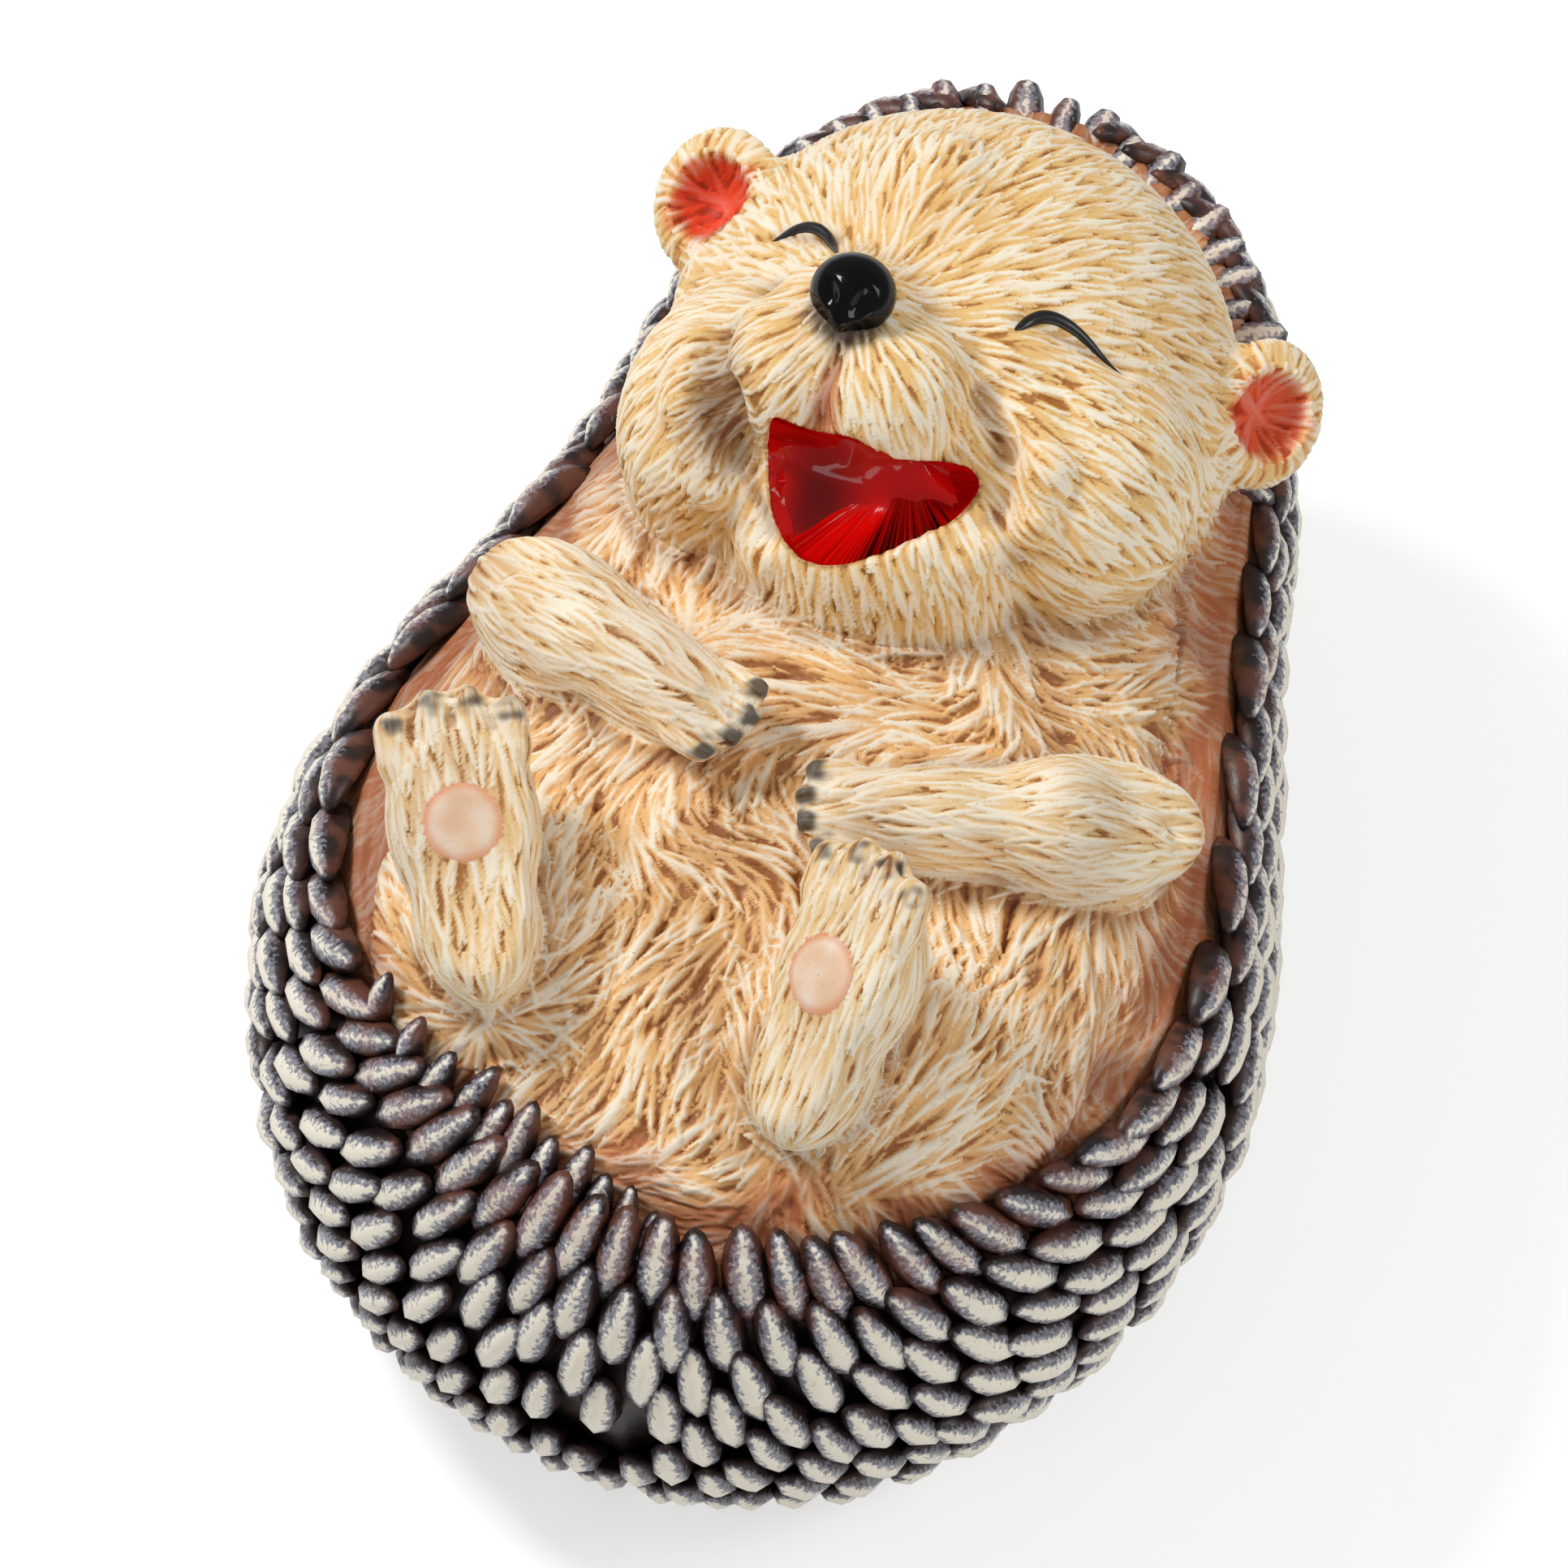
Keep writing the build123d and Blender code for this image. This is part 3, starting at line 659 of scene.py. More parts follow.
    def lifted(self, skin: Skin, egg: Egg) -> None:
        """Keeps the skin clear of the quill coat under it."""
        coat = BVHTree.FromPolygons(*(part.tolist() for part in mesh_arrays(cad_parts["quill_coat"].data)))
        places = self.body.outward(skin.points)
        for i in np.flatnonzero((egg.height(skin.points) > -9.0) & (egg.over_rim(skin.points) < 4.0)):
            foot, out, _, gap = coat.find_nearest(places[i])
            if gap < 4.0 * MM:
                stand = (Vector(places[i]) - foot) @ out
                if stand < self.CLEAR * MM:
                    places[i] += np.array(out) * (self.CLEAR * MM - stand)
        skin.points = self.body.inward(places)
        skin.update_normals()

    def modelled(self, skin: Skin) -> Array:
        """Softens the seams between forms and adds the sculpted marks.

        Args:
            skin: The coarse skin, changed in place.

        Returns:
            How shaded each vertex is, from 0 to 1.
        """
        self.open_mouth(skin)
        amounts = np.array([SOFTNESS[form] for form in FORMS])[skin.vertex_labels()]
        amounts = skin.blurred(amounts, 0.5, 6)
        skin.points = skin.blurred(skin.points, amounts * 0.6, 34)
        skin.update_normals()
        facing = smoothstep(-0.25, 0.25, skin.normals @ SEEN_BACK)[:, None]
        for brush in SCULPT_MARKS:
            skin.points += skin.normals * facing * brush.height(skin.points)[:, None]
        skin.points = skin.blurred(skin.points, 0.3, 3)
        for brush in self.clefts():
            skin.points += skin.normals * facing * brush.height(skin.points)[:, None]
        skin.update_normals()
        self.label_mouth(skin)
        # Painted shade: the skin is darker in its creases, by how far the smoothed skin stands above each vertex, and
        # on the trunk beside the limbs and the head
        soft = skin.blurred(skin.points, 0.5, 40)
        crease = smoothstep(0.05, 0.55, ((soft - skin.points) * skin.normals).sum(axis=1))
        return np.maximum(crease * 0.85, self.contact(skin))

    @staticmethod
    def contact(skin: Skin) -> Array:
        """How strongly the trunk lies in the shade of the limbs and the head beside it."""
        labels = skin.vertex_labels()
        trunk = among(labels, TRUNK)
        beside = np.flatnonzero(~trunk)[::4]
        tree = KDTree(len(beside))
        for i in beside:
            tree.insert(skin.points[i], i)
        tree.balance()
        gaps = np.full(len(labels), 99.0)
        for i in np.flatnonzero(trunk):
            gaps[i] = tree.find(skin.points[i])[2]
        return 0.8 * (1.0 - smoothstep(0.6, 5.5, gaps + 1.2 * Noise(34, 9.0)(skin.points)))

    def refined(self, skin: Skin, crease: Array) -> tuple[Skin, Array]:
        """Divides every small square in four with a smooth surface.

        Args:
            skin: The coarse skin.
            crease: One value for each of its vertices.

        Returns:
            The fine skin and the value for each of its vertices.
        """
        mesh = bpy.data.meshes.new("fine skin")
        mesh.vertices.add(len(skin.points))
        mesh.vertices.foreach_set("co", skin.points.ravel())
        mesh.loops.add(skin.faces.size)
        mesh.loops.foreach_set("vertex_index", skin.faces.ravel().astype(np.int32))
        mesh.polygons.add(len(skin.faces))
        mesh.polygons.foreach_set("loop_start", np.arange(0, skin.faces.size, 4, dtype=np.int32))
        mesh.update()
        fields_attribute(mesh, "crease", crease)
        layer = mesh.attributes.new("form", "INT", "FACE")
        layer.data.foreach_set("value", skin.labels.astype(np.int32))
        piece = linked("fine skin", mesh)
        divide = piece.modifiers.new("divide", "SUBSURF")
        divide.levels = divide.render_levels = 1
        fine = evaluated(piece)
        bpy.data.objects.remove(piece)
        points = np.zeros(len(fine.vertices) * 3)
        fine.vertices.foreach_get("co", points)
        corners = np.zeros(len(fine.loops), np.int32)
        fine.loops.foreach_get("vertex_index", corners)
        values = np.zeros(len(fine.vertices))
        fine.attributes["crease"].data.foreach_get("value", values)
        labels = np.zeros(len(fine.polygons), np.int32)
        fine.attributes["form"].data.foreach_get("value", labels)
        bpy.data.meshes.remove(fine)
        return Skin(points.reshape(-1, 3), corners.reshape(-1, 4), labels), values

    def flow(self, skin: Skin, labels: Array) -> Array:
        """The direction of the fur at each vertex, along the surface."""
        points = skin.points
        head = points - NOSE
        head[:, 2] *= 0.6
        fan = points[:, 0] / 45.0
        belly = np.stack([fan, -np.ones(len(points)) * 1.1, np.zeros(len(points))], axis=1)
        turn = Noise(21, 44.0)(points) * 1.25 + Noise(22, 19.0)(points) * 0.45
        swirled = belly.copy()
        swirled[:, 0] = belly[:, 0] * np.cos(turn) - belly[:, 1] * np.sin(turn)
        swirled[:, 1] = belly[:, 0] * np.sin(turn) + belly[:, 1] * np.cos(turn)
        flows = {
            Form.BELLY: swirled,
            Form.HEAD: head,
            Form.MUZZLE: head,
            Form.MOUTH: head,
            Form.LEFT_HAUNCH: points - LEFT_HEEL + np.array([0.0, 0.0, 4.0]),
            Form.RIGHT_HAUNCH: points - RIGHT_HEEL + np.array([-6.0, 10.0, 4.0]),
            Form.LEFT_ARM: np.broadcast_to(LEFT_LIMB[1] - LEFT_LIMB[0], points.shape),
            Form.RIGHT_ARM: np.broadcast_to(RIGHT_LIMB[1] - RIGHT_LIMB[0], points.shape),
            Form.LEFT_FOOT: np.broadcast_to(LEFT_HEEL - LEFT_TOES, points.shape),
            Form.RIGHT_FOOT: np.broadcast_to(RIGHT_HEEL - RIGHT_TOES, points.shape),
            Form.LEFT_EAR: points - LEFT_EAR,
            Form.RIGHT_EAR: points - RIGHT_EAR,
        }
        flows[Form.LEFT_FINGERS] = flows[Form.LEFT_ARM]
        flows[Form.RIGHT_FINGERS] = flows[Form.RIGHT_ARM]
        flows[Form.LEFT_TOES] = flows[Form.LEFT_PAD] = flows[Form.LEFT_FOOT]
        flows[Form.RIGHT_TOES] = flows[Form.RIGHT_PAD] = flows[Form.RIGHT_FOOT]
        total = np.zeros_like(points)
        for form, directions in flows.items():
            chosen = labels == LABEL[form]
            total[chosen] = unit(directions[chosen])
        total = skin.blurred(total, 0.5, 12)
        total -= skin.normals * (total * skin.normals).sum(axis=1)[:, None]
        return unit(total)

    def tree_of(self, skin: Skin) -> KDTree:
        """The look-up of the skin's vertices, made once."""
        if self.near is None:
            self.near = KDTree(len(skin.points))
            for i, point in enumerate(skin.points):
                self.near.insert(point, i)
            self.near.balance()
        return self.near

    def stroked(self, skin: Skin, flow: Array, strokes: StrokeSet, chosen: Array) -> Array:
        """Heights of overlapping carved strokes, from 0 in the grooves to about 1 on the ridges.

        Args:
            skin: The fine skin.
            flow: The direction of the fur at each vertex.
            strokes: The size of the strokes.
            chosen: Which vertices may start a stroke.

        Returns:
            One height for each vertex.
        """
        rng = np.random.default_rng(strokes.seed)
        order = rng.permutation(np.flatnonzero(chosen))
        cells = np.floor(skin.points[order] / strokes.spacing).astype(int)
        _, first = np.unique(cells, axis=0, return_index=True)
        seeds = order[np.sort(first)]
        tree = self.tree_of(skin)
        heights = np.zeros(len(skin.points))
        reach = strokes.length * 0.5
        turns = rng.normal(0.0, strokes.swirl, len(seeds))
        bends = rng.normal(0.0, strokes.bend, len(seeds))
        sizes = rng.uniform(0.75, 1.25, len(seeds))
        lifts = rng.uniform(0.0, 0.45, len(seeds))
        for seed, turn, bend, size, lift in zip(seeds, turns, bends, sizes, lifts):
            middle, up = skin.points[seed], skin.normals[seed]
            along = flow[seed] * math.cos(turn) + np.cross(up, flow[seed]) * math.sin(turn)
            found = tree.find_range(middle, reach * size)
            near = np.fromiter((item[1] for item in found), int, len(found))
            gap = skin.points[near] - middle
            u = gap @ along / (reach * size)
            across = gap @ np.cross(up, along) - bend * (gap @ along) ** 2
            taper = np.sqrt(np.clip(1.0 - u * u, 0.0, 1.0)) * (1.0 - 0.35 * u)
            q = across / np.maximum(strokes.width * size * taper, 1e-6)
            facing = (skin.normals[near] @ up) > 0.3
            rise = (lift + 0.55 * (0.7 + 0.3 * u)) * np.clip(1.0 - q * q, 0.0, 1.0) ** 0.6
            rise = np.where((np.abs(u) < 1.0) & (np.abs(q) < 1.0) & facing, rise, 0.0)
            heights[near] = np.maximum(heights[near], rise)
        return heights

    def tips(self, node: str, heading: Array) -> list[Array]:
        """The ends of a node's fingers or toes, on their upper side.

        Args:
            node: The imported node.
            heading: The way that they point, in the body frame.

        Returns:
            One place for each, in the body frame.
        """
        found = []
        for island in islands(node):
            points = self.body.inward(island)
            reach = points @ unit(heading) + 0.5 * points[:, 2]
            found.append(points[reach.argmax()])
        return found

    def painted(self, skin: Skin, egg: Egg, strokes: Array, locks: Array, crease: Array) -> dict[str, Array]:
        """The hand-painted washes and the painted shade, each from 0 to 1 at every vertex.

        Args:
            skin: The fine skin.
            egg: The egg under the quills.
            strokes: Heights of the fine strokes.
            locks: Heights of the larger locks.
            crease: How deep in a crease each vertex lies.

        Returns:
            The washes by name.
        """
        points = skin.points
        labels = skin.vertex_labels()
        places = seen(points)
        on_face, on_trunk = among(labels, FACE), among(labels, TRUNK)
        rim = egg.rim_distance(points)
        patchy = Noise(31, 14.0)(points)
        ridge = np.where(on_trunk, 0.62 * strokes + 0.38 * locks, strokes)
        for part in (on_trunk, ~on_trunk):
            low, high = np.quantile(ridge[part], (0.06, 0.94))
            ridge[part] = (ridge[part] - low) / max(high - low, 1e-6)
        ridge = np.clip(ridge, 0.0, 1.0)
        bare = among(labels, PADS)
        ridge[bare] = 0.6 + 0.15 * Noise(36, 5.0)(points[bare])
        band = 1.0 - smoothstep(1.0, 9.5, rim + 2.2 * patchy)
        # The shade wash is painted shade: in the creases and beside the limbs, and as a patchy base over the body that
        # the wash group lays mostly in the grooves between the strokes
        shade = crease * 0.9
        body = ~among(labels, FACE + EARS)
        shade = np.maximum(shade, np.where(body, 0.14 + 0.20 * Noise(32, 22.0)(points), 0.0))
        blush = np.zeros(len(points))
        ink = np.zeros(len(points))
        for ear, form, strength in ((LEFT_EAR, Form.LEFT_EAR, 1.0), (RIGHT_EAR, Form.RIGHT_EAR, 0.8)):
            gap = np.linalg.norm(points - ear, axis=1) + 0.7 * Noise(35, 3.0)(points)
            blush = np.maximum(blush, strength * (labels == LABEL[form]) * (1.0 - smoothstep(3.8, 8.4, gap)))
        for form in PADS:
            pad = labels == LABEL[form]
            gap = np.linalg.norm(points - points[pad].mean(axis=0), axis=1)
            ring = gap / np.quantile(gap[pad], 0.97)
            blush = np.maximum(blush, pad * (0.12 + 0.75 * smoothstep(0.72, 1.0, ring)))
        groove = np.linalg.norm((points - LIP_GROOVE) * np.array([1.0, 0.36, 0.35]), axis=1)
        blush = np.maximum(blush, 0.75 * (1.0 - smoothstep(0.9, 3.6, groove + 0.5 * patchy)) * on_face)
        smudge = np.linalg.norm(points - NOSE_SMUDGE, axis=1) + 1.6 * ridge
        ink = np.maximum(ink, 0.9 * (1.0 - smoothstep(4.6, 7.4, smudge)) * (points[:, 1] < 71.0))
        for node, heading in TIP_NODES:
            back = 0.6 if "fingers" in node else 2.2
            for tip in self.tips(node, heading):
                spot = np.linalg.norm(points - tip + unit(heading) * back, axis=1) + 0.4 * Noise(33, 2.4)(points)
                ink = np.maximum(ink, 0.88 * (1.0 - smoothstep(0.9, 2.3, spot)))
        # Painted shade in the cheek pocket between the muzzle and the cheek
        pocket = np.linalg.norm((points - CHEEK_POCKET) * np.array([1.0, 0.55, 0.6]), axis=1)
        shade = np.maximum(shade, 0.98 * (1.0 - smoothstep(2.5, 8.0, pocket)) * on_face)
        # Lighter painted shade and ink round the wrist pits
        for place in self.PITS:
            light = 0.25 + 0.75 * smoothstep(3.0, 7.0, np.linalg.norm(points - np.array(place), axis=1))
            shade, ink = shade * light, ink * light
        # In the mouth the shade wash is painted shade in its hollow, darkest round MOUTH_DARK
        red = labels == LABEL[Form.MOUTH]
        gloom = np.linalg.norm((places - MOUTH_DARK) * np.array([1.0, 0.8]), axis=1)
        shade = np.where(red, 1.0 - smoothstep(1.0, 9.0, gloom), shade)
        return {
            "ridge": np.clip(ridge, 0.0, 1.0),
            "band": np.clip(band, 0.0, 1.0),
            "shade": np.clip(shade, 0.0, 1.0),
            "blush": np.clip(blush, 0.0, 1.0),
            "ink": np.clip(ink, 0.0, 1.0),
        }

    def parted(self, skin: Skin, washes: dict[str, Array]) -> list[tuple[Form, bpy.types.Object]]:
        """Parts the skin into closed pieces, one for each form.

        Args:
            skin: The finished fine skin.
            washes: The painted values for each of its vertices.

        Returns:
            Each piece with its form.
        """
        places = self.body.outward(skin.points)
        normals = self.body.direction(skin.normals)
        middles = skin.points[skin.faces][:, :, 1].mean(axis=1)
        pieces = []
        for form in FORMS:
            chosen = skin.labels == LABEL[form]
            count = self.SPLIT.get(form, 1)
            cuts = np.quantile(middles[chosen], np.linspace(0.0, 1.0, count + 1))
            cuts[0], cuts[-1] = -np.inf, np.inf
            for i, (low, high) in enumerate(zip(cuts, cuts[1:])):
                faces = skin.faces[chosen & (middles > low) & (middles <= high)]
                name = f"{form.value}_{'red' if form is Form.MOUTH else 'fur'}"
                if count > 1:
                    name += f"_{i + 1}"
                pieces.append((form, self.piece(name, faces, places, normals, washes)))
        return pieces

    def piece(
        self, name: str, faces: Array, places: Array, normals: Array, washes: dict[str, Array]
    ) -> bpy.types.Object:
        """One closed piece of the skin.

        Args:
            name: Its name.
            faces: Its faces.
            places: The whole skin's places in the part's frame.
            normals: The whole skin's outward directions.
            washes: The painted values.

        Returns:
            The piece.
        """
        used, faces = np.unique(faces, return_inverse=True)
        mesh = bpy.data.meshes.new(name)
        mesh.from_pydata(places[used], [], faces.reshape(-1, 4))
        self.close(mesh, normals[used], name.endswith("red"))
        extra = len(mesh.vertices) - len(used)
        for label, values in washes.items():
            fields_attribute(mesh, label, np.pad(values[used], (0, extra)))
        mesh.shade_smooth()
        mesh.normals_split_custom_set_from_vertices(np.pad(normals[used], ((0, extra), (0, 0))))
        return linked(name, mesh)

    def close(self, mesh: bpy.types.Mesh, normals: Array, deep: bool) -> None:
        """Closes each open border of a piece with a skirt that runs inward and a cap.

        Args:
            mesh: The piece, changed in place.
            normals: The outward direction at each of its vertices.
            deep: Whether its caps keep well below it, as under a hollow piece.
        """
        shell = bmesh.new()
        shell.from_mesh(mesh)
        facing = {tuple(vert.co): Vector(normal) for vert, normal in zip(shell.verts, normals)}
        border = [edge for edge in shell.edges if edge.is_boundary]
        known = {edge.link_faces[0] for edge in border}
        grown = bmesh.ops.extrude_edge_only(shell, edges=border)["geom"]
        loose = {item for item in grown if isinstance(item, bmesh.types.BMVert)}
        middles = []
        while loose:
            group, front = [], [loose.pop()]
            while front:
                vert = front.pop()
                group.append(vert)
                for edge in vert.link_edges:
                    other = edge.other_vert(vert)
                    if other in loose and edge.is_boundary:
                        loose.discard(other)
                        front.append(other)
            middle = sum((vert.co for vert in group), Vector()) / len(group)
            outward = sum((facing[tuple(vert.co)] for vert in group), Vector()).normalized()
            radius = sum((vert.co - middle).length for vert in group) / len(group)
            wide = deep or radius > self.WIDE * MM
            skirt = min(self.SHALLOW * MM if deep else self.SKIRT * MM, radius * 0.9)
            for vert in group:
                vert.co -= facing[tuple(vert.co)] * skirt
            depth = min(radius * 0.9, self.DEEPEST * MM) if wide else skirt
            middles.append((set(group), middle - outward * depth))
        rims = [edge for edge in shell.edges if edge.is_boundary]
        skirt = {edge.link_faces[0] for edge in rims}
        grown = bmesh.ops.extrude_edge_only(shell, edges=rims)["geom"]
        caps = [item for item in grown if isinstance(item, bmesh.types.BMVert)]
        for group, middle in middles:
            cap = [vert for vert in caps if any(edge.other_vert(vert) in group for edge in vert.link_edges)]
            bmesh.ops.pointmerge(shell, verts=cap, merge_co=middle)
            caps = [vert for vert in caps if vert.is_valid and vert not in cap]
        for edges, sure in ((border, known), (rims, skirt)):
            for edge in edges:
                first, second = edge.link_loops
                if first.vert == second.vert:
                    (second if first.face in sure else first).face.normal_flip()
        shell.to_mesh(mesh)
        shell.free()

    def carve(self) -> list[tuple[Form, bpy.types.Object]]:
        """Carves the whole skin.

        Returns:
            Each closed piece with its form.
        """
        egg = Egg()
        skin = self.coarse(egg)
        crease = self.modelled(skin)
        skin, crease = self.refined(skin, crease)
        labels = skin.vertex_labels()
        flow = self.flow(skin, labels)
        smooth = among(labels, PADS + (Form.MOUTH,))
        arms, trunk = among(labels, ARMS), among(labels, TRUNK)
        neat = ~smooth & ~arms & ~trunk
        fine = np.maximum(
            self.stroked(skin, flow, self.HEAD_STROKES, neat),
            self.stroked(skin, flow, self.BODY_STROKES, arms | trunk),
        )
        locks = self.stroked(skin, flow, self.BODY_LOCKS, trunk) * ~(smooth | neat)
        bare = skin.blurred(smooth.astype(float), 0.5, 4)
        cover = np.where(trunk | arms, self.BODY_STROKES.height, self.HEAD_STROKES.height)
        height = (fine - 0.45) * cover * (1.0 - bare)
        height *= np.where(among(labels, FINGERS + TOES), 0.5, 1.0)
        inner = skin.blurred(trunk.astype(float), 0.5, 8) * smoothstep(0.5, 5.0, egg.rim_distance(skin.points))
        height += (locks - 0.4) * self.BODY_LOCKS.height * inner * (1.0 - bare)
        for line in EYELIDS:
            height *= smoothstep(0.5, 2.0, line.gap(skin.points))
        mouth = skin.blurred((labels == LABEL[Form.MOUTH]).astype(float), 0.5, 24)
        places = seen(skin.points)
        below = np.interp(places[:, 0], MOUTH_TOP[:, 0], MOUTH_TOP[:, 1]) - places[:, 1]
        sink = self.MOUTH_SINK + self.TOP_SINK * (1.0 - smoothstep(0.5, 5.5, below))
        height -= sink * smoothstep(0.45, 0.95, mouth)
        washes = self.painted(skin, egg, fine, locks, crease)
        # Painted shade on the fur round the mouth, with less dry brush there
        lip = smoothstep(0.10, 0.45, mouth) * (labels != LABEL[Form.MOUTH])
        washes["shade"] = np.maximum(washes["shade"], 0.75 * lip)
        washes["ridge"] *= 1.0 - 0.6 * lip
        skin.points += skin.normals * height[:, None]
        self.lifted(skin, egg)
        skin.even_borders(30)
        self.face = BVHTree.FromPolygons(skin.points.tolist(), skin.faces.tolist())
        return self.parted(skin, washes)


def srgb(red: int, green: int, blue: int) -> tuple[float, float, float, float]:
    """A paint colour, given as display values from 0 to 255."""
    shares = [value / 255 for value in (red, green, blue)]
    linear = [s / 12.92 if s <= 0.04045 else ((s + 0.055) / 1.055) ** 2.4 for s in shares]
    return (linear[0], linear[1], linear[2], 1.0)


def reshaped_ball(sides: int, rings: int) -> tuple[bmesh.types.BMesh, Array]:
    """A ball whose poles lie on X, ready to be drawn out to another form.

    Args:
        sides: Faces around it.
        rings: Rows of faces from pole to pole.

    Returns:
        The ball and its places, with a radius of one.
    """
    ball = bmesh.new()
    turn = Matrix.Rotation(math.pi / 2, 4, "Y")
    bmesh.ops.create_uvsphere(ball, u_segments=sides, v_segments=rings, radius=1.0, matrix=turn)
    return ball, np.array([vert.co[:] for vert in ball.verts])


class Nose:
    """The glossy nose, modelled from its solid."""

    VOXEL = 0.30
    MARKS = [
        Brush((-15.2, 69.6, 66.4), (-14.4, 68.2, 65.6), 2.2, -1.3),
        Brush((-9.4, 69.4, 66.4), (-9.9, 68.0, 65.4), 2.2, -1.3),
        Brush((-12.0, 70.0, 67.0), (-12.0, 66.0, 64.0), 1.2, -0.35),
        Brush((-12.0, 66.3, 63.0), (-12.0, 65.6, 62.5), 2.4, 0.9),
        Brush((-16.5, 66.4, 62.5), (-15.5, 65.6, 62.0), 3.4, -0.8),
        Brush((-7.6, 66.2, 62.5), (-8.4, 65.4, 62.0), 3.4, -0.8),
    ]

    def __init__(self, body: BodyFrame) -> None:
        """Keeps the body's axes."""
        self.body = body

    def carve(self) -> bpy.types.Object:
        """Makes the nose with its nostrils.

        Returns:
            The nose.
        """
        solid = node_copy("nose")
        mesh = bpy.data.meshes.new("nose")
        solid.to_mesh(mesh)
        solid.free()
        piece = linked("nose solid", mesh)
        remesh = piece.modifiers.new("fuse", "REMESH")
        remesh.mode = "VOXEL"
        remesh.voxel_size = self.VOXEL * MM
        soften = piece.modifiers.new("soften", "SMOOTH")
        soften.iterations = 8
        shape = evaluated(piece)
        bpy.data.objects.remove(piece)
        points, _ = mesh_arrays(shape)
        normals = np.zeros(len(points) * 3)
        shape.vertices.foreach_get("normal", normals)
        normals = normals.reshape(-1, 3) @ self.body.axes.T
        places = self.body.inward(points)
        for mark in self.MARKS:
            places += normals * mark.height(places)[:, None]
        shape.vertices.foreach_set("co", self.body.outward(places).ravel())
        shape.shade_smooth()
        shape.update()
        return linked("nose_gloss", shape)


@dataclass
class BrushLine:
    """One painted eyelid line: its name, its places on the face and its widest half width."""

    node: str
    places: list[tuple[float, float, float]]
    half_width: float
    heavy_end: float

    SIDES = 8
    RINGS = 40
    RISE = 0.55

    def path(self, shares: Array) -> tuple[Array, Array]:
        """The line's places and headings.

        Args:
            shares: How far along the line each lies, from 0 to 1.

        Returns:
            The places and the directions ahead.
        """
        knots = np.linspace(0.0, 1.0, len(self.places))
        curves = [np.polyfit(knots, column, 4) for column in np.array(self.places).T]
        middles = np.stack([np.polyval(curve, shares) for curve in curves], axis=1)
        ahead = np.stack([np.polyval(np.polyder(curve), shares) for curve in curves], axis=1)
        return middles, unit(ahead)

    def gap(self, points: Array) -> Array:
        """How far each point lies from the line."""
        gaps = np.full(len(points), 99.0)
        for middle in self.path(np.linspace(0.0, 1.0, 24))[0]:
            gaps = np.minimum(gaps, np.linalg.norm(points - middle, axis=1))
        return gaps

    def lay(self, body: BodyFrame, face: BVHTree) -> bpy.types.Object:
        """Lays the line on the carved face.

        Args:
            body: The figure's axes.
            face: The carved skin, to lay it on.

        Returns:
            The tapered line.
        """
        ball, places = reshaped_ball(self.SIDES, self.RINGS)
        shares, ring_of = np.unique(np.round((places[:, 0] + 1.0) / 2, 5), return_inverse=True)
        middles, ahead = self.path(shares)
        hits = [face.find_nearest(Vector(middle)) for middle in middles]
        seats = np.array([hit[0] for hit in hits])
        ups = np.array([hit[1] for hit in hits])
        for _ in range(12):
            seats[1:-1] += 0.5 * ((seats[:-2] + seats[2:]) / 2 - seats[1:-1])
            ups[1:-1] += 0.5 * ((ups[:-2] + ups[2:]) / 2 - ups[1:-1])
        ups = unit(ups)
        sides = unit(np.cross(ups, ahead))
        girth = np.sin(math.pi * np.clip(shares, 0.0, 1.0) ** self.heavy_end) ** 0.6
        ring = np.hypot(places[:, 1], places[:, 2])
        turn = places[:, 1:] / np.maximum(ring, 1e-9)[:, None] * (ring > 1e-6)[:, None]
        wide = sides[ring_of] * (turn[:, 0] * self.half_width * girth[ring_of])[:, None]
        tall = ups[ring_of] * (turn[:, 1] * self.RISE * girth[ring_of])[:, None]
        for vert, place in zip(ball.verts, body.outward(seats[ring_of] + wide + tall)):
            vert.co = place
        bmesh.ops.recalc_face_normals(ball, faces=ball.faces)
        mesh = bpy.data.meshes.new(self.node)
        ball.to_mesh(mesh)
        ball.free()
        mesh.shade_smooth()
        return linked(f"{self.node}_brushed", mesh)


EYELIDS = [
    BrushLine(
        "left_eyelid_line",
        [(-26.6, 83.3, 43.6), (-24.5, 84.8, 45.1), (-22.0, 85.2, 46.7), (-19.9, 84.6, 47.9), (-17.9, 82.6, 49.3),
         (-16.6, 80.4, 52.0)],
        0.86,
        0.8,
    ),
    BrushLine(
        "right_eyelid_line",
        [(8.7, 76.9, 52.3), (10.3, 79.6, 51.9), (12.2, 81.1, 51.3), (15.2, 81.0, 50.4), (18.8, 79.9, 49.0),
         (23.5, 78.1, 47.1)],
        0.92,
        0.7,
    ),
]


@dataclass
class QuillShape:
    """How the quills of one region are drawn out from their solids."""

    longer: float
    wider: float
    thick: float
    blunt: float


